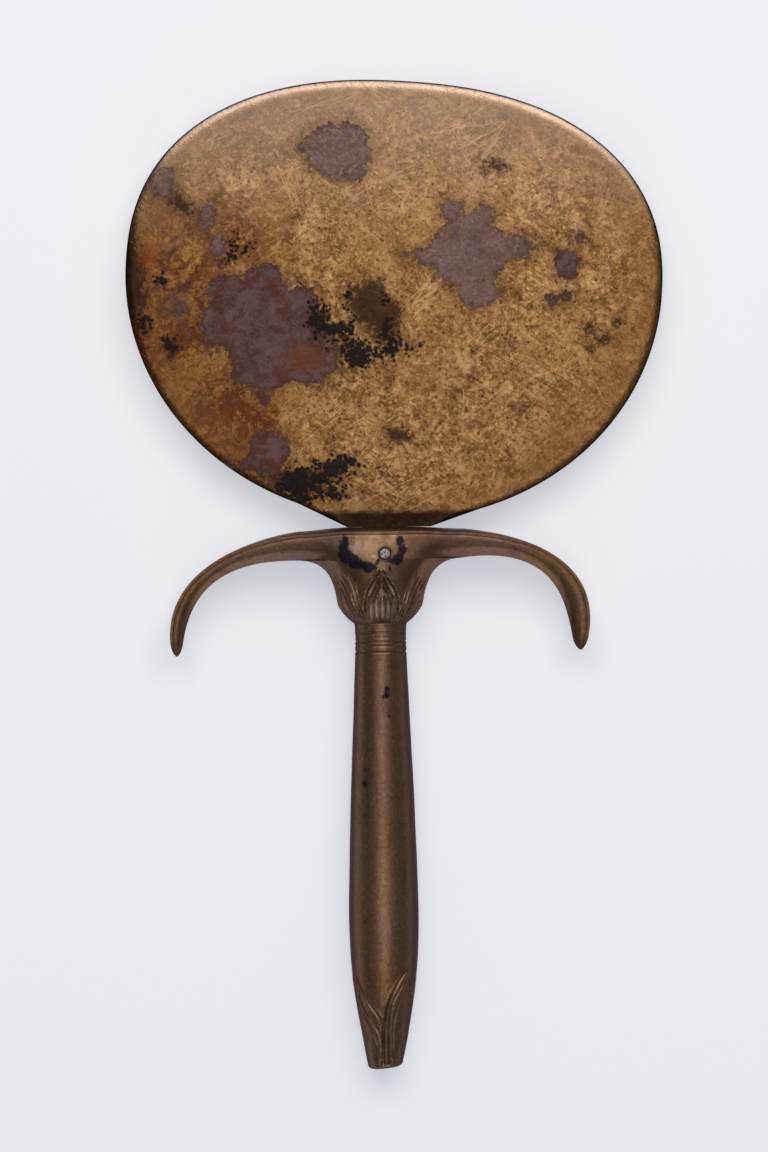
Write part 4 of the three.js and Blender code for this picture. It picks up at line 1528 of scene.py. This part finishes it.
    def bowl_height(
        self, points: Array, brink: float, depth: float, arm: Arm, swell: Array, inner: float
    ) -> Array:
        """Height of the face where the umbel and the calyx's bowl run into each other.

        Args:
            points: Places along the section, two columns.
            brink: Height of the lip's lower edge.
            depth: The umbel's half-depth here.
            arm: The arm on this side.
            swell: The umbel's own height over these points, as on the arm.
            inner: How far from the flare to the middle.

        Returns:
            Heights over the points.
        """
        x, y = np.abs(points[:, 0]), points[:, 1]
        flare_x, flare_y = bezier(arm.flare)[::-1].T
        flare_x = np.abs(flare_x)
        flare_width = np.interp(y, flare_y, flare_x)
        width = np.where(y > self.bowl_top, flare_width, along(self.bowl_widths, y))
        bowl = along(self.bowl_depths, y) * np.sqrt(np.clip(1 - (x / width) ** 2, 0, 1))
        places = np.arange(-6, 26, 0.1)
        sag = np.clip(places / self.bowl_half_width, 0, 1) ** 2
        middle = self.core_y + (self.bowl_top - self.core_y) * sag
        lowest = np.where(places > self.bowl_half_width, np.interp(places, flare_x, flare_y), middle)
        soften = np.hanning(43)
        floor = np.interp(x, places, np.convolve(lowest, soften / soften.sum(), "same"))
        fall = np.clip((brink - y) / np.maximum(brink - floor, 0.5), 0, 1)
        rounding = np.clip(1 - (x / flare_width) ** 4 * smoothstep(-5, -12, y), 0, 1)
        umbel = depth * np.sqrt((1 - fall**2) * rounding)
        umbel = swell + (umbel - swell) * float(smoothstep(0, 0.25, inner))
        blend = np.clip(np.minimum(umbel, bowl) / 3, 0, 1) * float(smoothstep(0, 0.2, inner))
        return soft_max(umbel, bowl - 1.5 * smoothstep(-7.5, -3.5, y), blend)

    def head_carving(self, loops: Array) -> Array:
        """How far the head's surface stands off its plain form.

        Args:
            loops: The head's points.

        Returns:
            Millimetres.
        """
        x, y, z = loops[..., 0], loops[..., 1], loops[..., 2]
        degrees, radius = np.degrees(np.arctan2(x, z)), np.hypot(x, z)
        rise = np.zeros_like(y)
        for groove in both_sides(self.sepal_lines()):
            rise += groove.cut(y, degrees, radius)
        folded = np.where(np.abs(degrees) > 90, 180 - np.abs(degrees), np.abs(degrees))
        low = smoothstep(-14.5, -18.5, y) * smoothstep(-22.7, -21, y)
        fan = 3.6 + 1.2 * smoothstep(-17, -22, y)
        petals = 0.5 - 0.5 * np.cos(2 * math.pi * (degrees + 1) / (2 * fan))
        rise += 0.36 * low * petals * smoothstep(24, 17, folded)
        side_ribs = 0.5 - 0.5 * np.cos(2 * math.pi * folded / 6.5)
        side_reach = smoothstep(-9.5, -14, y) * smoothstep(-22.8, -20.5, y) * smoothstep(60, 66, folded)
        rise += 0.3 * side_reach * (side_ribs - 0.5)
        on_bowl = smoothstep(14, 11.5, np.abs(x)) * smoothstep(-23.6, -22.8, y)
        rise = rise * on_bowl + self.unevenness * rough(loops, 0.12, 21)
        return rise + 0.02 * rough(loops, 0.6, 22)

    def sepal_lines(self) -> list[Groove]:
        """Outlines and nested veins of the calyx's sepals, on its front.

        Returns:
            The grooves.
        """
        lines = []
        for fall, depth in ((0, 0.28), (1.8, 0.22), (3.6, 0.18)):
            apex, spread = self.sepal_apex - fall, 1 - fall / 16
            for side in (-1, 1):
                path = [(apex - drop, 2 + side * half * spread) for drop, half in self.sepal_outline]
                path = tuple(p for p in path if p[0] > self.calyx_foot)
                lines.append(Groove(path, depth, 0.2, 1.0))
        for k, angle in enumerate((-33, -39, -45.5, -52.5)):
            turns = ((-11 - 0.8 * k, angle - 12), (-14.5 - 0.4 * k, angle - 6), (-18, angle - 1))
            path = (*turns, (-22.2, angle + 4))
            mirrored = tuple((y, 4 - a) for y, a in path)
            lines.append(Groove(path, 0.2 - 0.02 * k, 0.22, 0.8))
            lines.append(Groove(mirrored, 0.18 - 0.02 * k, 0.22, 0.8))
        return lines

    # -- patina --

    def paint(self, mesh: bpy.types.Mesh) -> None:
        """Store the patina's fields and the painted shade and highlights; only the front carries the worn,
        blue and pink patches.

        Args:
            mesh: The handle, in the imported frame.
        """
        places = self.lay.undo(vertex_values(mesh))
        x, y, z = places.T
        patches = ((Layer.WORN, self.worn), (Layer.BLUE, self.blue), (Layer.PINK, self.pink))
        for layer, spots in patches:
            add_layer(mesh, layer, np.where(z > 0, patch_field(spots, places, 0.5), -20))
        degrees, radius = np.degrees(np.arctan2(x, z)), np.hypot(x, z)
        # painted shade in the carved grooves, the neck's rings and round the rivet hole
        recess_shade, ridges = np.zeros(len(places)), np.zeros(len(places))
        for groove in both_sides([*self.sepal_lines(), *self.foot_leaves()]):
            cut = groove.cut(y, degrees, radius) * (np.abs(x) < 12.5)
            recess_shade, ridges = np.maximum(recess_shade, -cut / 0.34), np.maximum(ridges, cut / 0.3)
        for height, depth in self.rings:
            recess_shade = np.maximum(recess_shade, line_groove(y - height, self.ring_half) * depth / 0.22)
        recess_shade = np.maximum(recess_shade, smoothstep(2.3, 1.7, self.seat.away(places)) * 1.1)
        add_layer(mesh, Layer.RECESS_SHADE, np.clip(recess_shade, 0, 1.2))
        # the lips' wear fades round the sides; the flutes low on the calyx and the glint there are painted
        # highlights
        ridges *= smoothstep(62, 14, np.abs(degrees)) * (0.4 + 0.6 * smoothstep(-110, -100, y))
        ridges *= 0.05 + 0.5 * smoothstep(3, 12, np.abs(degrees - 2))
        low = smoothstep(-16.5, -19, y) * smoothstep(-22.6, -21.4, y) * smoothstep(24, 17, np.abs(degrees))
        fluted = low * (0.5 - 0.5 * np.cos(math.pi * (degrees + 1) / 4.4)) ** 2
        glint = np.exp(-(((degrees + 2) / 11) ** 2) - ((y + 19.6) / 1.7) ** 2)
        ridges = np.maximum(ridges, fluted * (0.6 + 0.9 * glint) + 0.25 * glint)
        add_layer(mesh, Layer.RIDGE_WEAR_AND_GLINT, np.clip(ridges, 0, 1))
        # painted shade: flanks that turn sideways, the right more, darken; so do the middle of the stem and
        # the front of the umbel
        turned = np.abs(vertex_values(mesh, "normal")[:, 2]) - 0.12 * smoothstep(0, 3, x)
        flank_shade = smoothstep(-14, -24, y) * smoothstep(0.92, 0.35, turned)
        flank_shade = np.maximum(flank_shade, 0.3 * smoothstep(-24, -34, y) * smoothstep(-100, -70, y))
        umbel = 0.42 * smoothstep(-22, -10, y) * smoothstep(27, 12, np.abs(x))
        add_layer(mesh, Layer.FLANK_SHADE, np.maximum(flank_shade, umbel))


# ---- Rivet ----


@dataclass
class TangRivet:
    """The corroded pin that holds the tang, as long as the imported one."""

    lay: Lay
    seat: RivetSeat
    steps: int = 60
    inset: float = 0.05
    play: float = 0.02
    sharp_angle: float = 50

    def build(self) -> Piece:
        """Build and dress the rivet.

        Returns:
            The finished rivet.
        """
        low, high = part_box("rivet")
        across, along_stem = (low.x + high.x) / 2, (low.y + high.y) / 2
        ends = self.lay.undo(np.array([[across, along_stem, z] for z in (high.z, low.z)]))[:, 2]
        front, back = ends[0] - self.inset, ends[1] + self.inset
        radius = self.seat.pin_radius - self.play
        flange = (self.seat.hole_radius - 0.01) / radius
        profile = [(0.05, 0.04), (0.6, 0.03), (0.9, -0.05), (0.97, -0.3), (flange, -0.5), (flange, -0.9)]
        rings = [(share * radius, back - rise) for share, rise in profile]
        rings += [(share * radius, front + rise) for share, rise in reversed(profile)]
        turn = np.linspace(0, 2 * math.pi, self.steps, endpoint=False)
        wander = 0.05 * np.sin(3 * turn + 1) + 0.03 * np.sin(7 * turn) - 0.06
        loops = []
        for r, z in rings:
            uneven = r * (1 + wander * (r <= radius))
            x, y = self.seat.x + uneven * np.cos(turn), self.seat.y + uneven * np.sin(turn)
            loops.append(np.column_stack([x, y, np.full(self.steps, z)]))
        piece = loops_mesh("rivet", np.array(loops))
        add_layer(piece.data, Layer.RIM, radius - self.seat.away(vertex_values(piece.data)))
        settle(piece, "tang_rivet", self.lay, self.sharp_angle)
        hand_over(piece, RivetMetal().make(), "rivet_metal", "rivet")
        return piece


# ---- Floor, lights and camera ----


@dataclass(frozen=True)
class Softbox:
    """A rectangular lamp that faces the mirror: place and size in metres, power in watts."""

    name: str
    place: tuple[float, float, float]
    size: tuple[float, float]
    power: float
    color: Color

    def build(self) -> None:
        """Hang the lamp."""
        light = bpy.data.lights.new(self.name, "AREA")
        light.shape = "RECTANGLE"
        light.size, light.size_y = self.size
        light.energy = self.power
        light.color = self.color[:3]
        piece = bpy.data.objects.new(self.name, light)
        piece.location = self.place
        piece.rotation_euler = (-Vector(self.place)).to_track_quat("-Z", "Y").to_euler()
        bpy.context.scene.collection.objects.link(piece)


@dataclass
class Studio:
    """A pale floor, soft light from beyond the disk, and a camera straight above, in metres."""

    middle: tuple[float, float] = (-0.00325, -0.0003)
    frame_height: float = 0.2797
    object_level: float = 0.010
    camera_height: float = 1.1
    turn: float = -0.66
    sensor: float = 36
    floor_size: float = 6
    floor_color: Color = tone(237, 231, 226)
    floor_roughness: float = 0.9
    floor_specular: float = 0.1
    floor_glow: float = 0.58
    glow_color: Color = tone(220, 228, 241)
    world_color: Color = tone(214, 220, 232)
    world_strength: float = 0.12
    lamps: tuple[Softbox, ...] = (
        Softbox("key_softbox", (0.1, 0.74, 1.2), (1.4, 0.7), 6.8, tone(255, 253, 251)),
        Softbox("top_softbox", (0.0, 0.28, 1.6), (0.7, 1.1), 2.9, tone(255, 252, 248)),
        Softbox("low_softbox", (0.0, -1.5, 1.1), (0.3, 0.3), 0.9, tone(255, 244, 238)),
        Softbox("foot_softbox", (0.0, -0.48, 1.6), (0.45, 0.5), 1.5, tone(255, 250, 244)),
    )

    def build(self) -> None:
        """Build the floor, the lights and the camera."""
        self.floor()
        for lamp in self.lamps:
            lamp.build()
        self.camera()
        world = bpy.data.worlds.new("studio")
        world.use_nodes = True
        back = world.node_tree.nodes["Background"]
        back.inputs["Color"].default_value = self.world_color
        back.inputs["Strength"].default_value = self.world_strength
        bpy.context.scene.world = world
        bpy.context.scene.view_settings.view_transform = "Standard"

    def floor(self) -> None:
        """Lay a plain pale floor under the mirror."""
        half = self.floor_size / 2
        corners = [(-half, -half, 0), (half, -half, 0), (half, half, 0), (-half, half, 0)]
        piece = mesh_object("floor", np.array(corners), [(0, 1, 2, 3)])
        others = {"Specular IOR Level": self.floor_specular}
        others |= {"Emission Color": self.glow_color, "Emission Strength": self.floor_glow}
        paper = Graph("floor_paper", self.floor_color)
        piece.data.materials.append(paper.finish(0, self.floor_roughness, others))

    def camera(self) -> None:
        """Look straight down, so that the object's length fills the frame as it should."""
        lens = bpy.data.cameras.new("camera")
        lens.sensor_width = lens.sensor_height = self.sensor
        away = self.camera_height - self.object_level
        lens.lens = self.sensor * away / self.frame_height
        piece = bpy.data.objects.new("camera", lens)
        piece.location = (*self.middle, self.camera_height)
        piece.rotation_euler = (0, 0, math.radians(self.turn))
        bpy.context.scene.collection.objects.link(piece)
        bpy.context.scene.camera = piece


def main() -> None:
    """Build the mirror piece by piece, then the studio."""
    logging.basicConfig(level=logging.INFO, format="%(name)s: %(message)s")
    lay = Lay.from_frame((13.2, 70.35, -0.95))
    seat = RivetSeat()
    disk = MirrorDisk(lay, seat).build()
    PapyrusHandle(lay, seat).build()
    TangRivet(lay, seat).build()
    CorrosionGrains(disk).build()
    Studio().build()


if __name__ == "__main__":
    main()
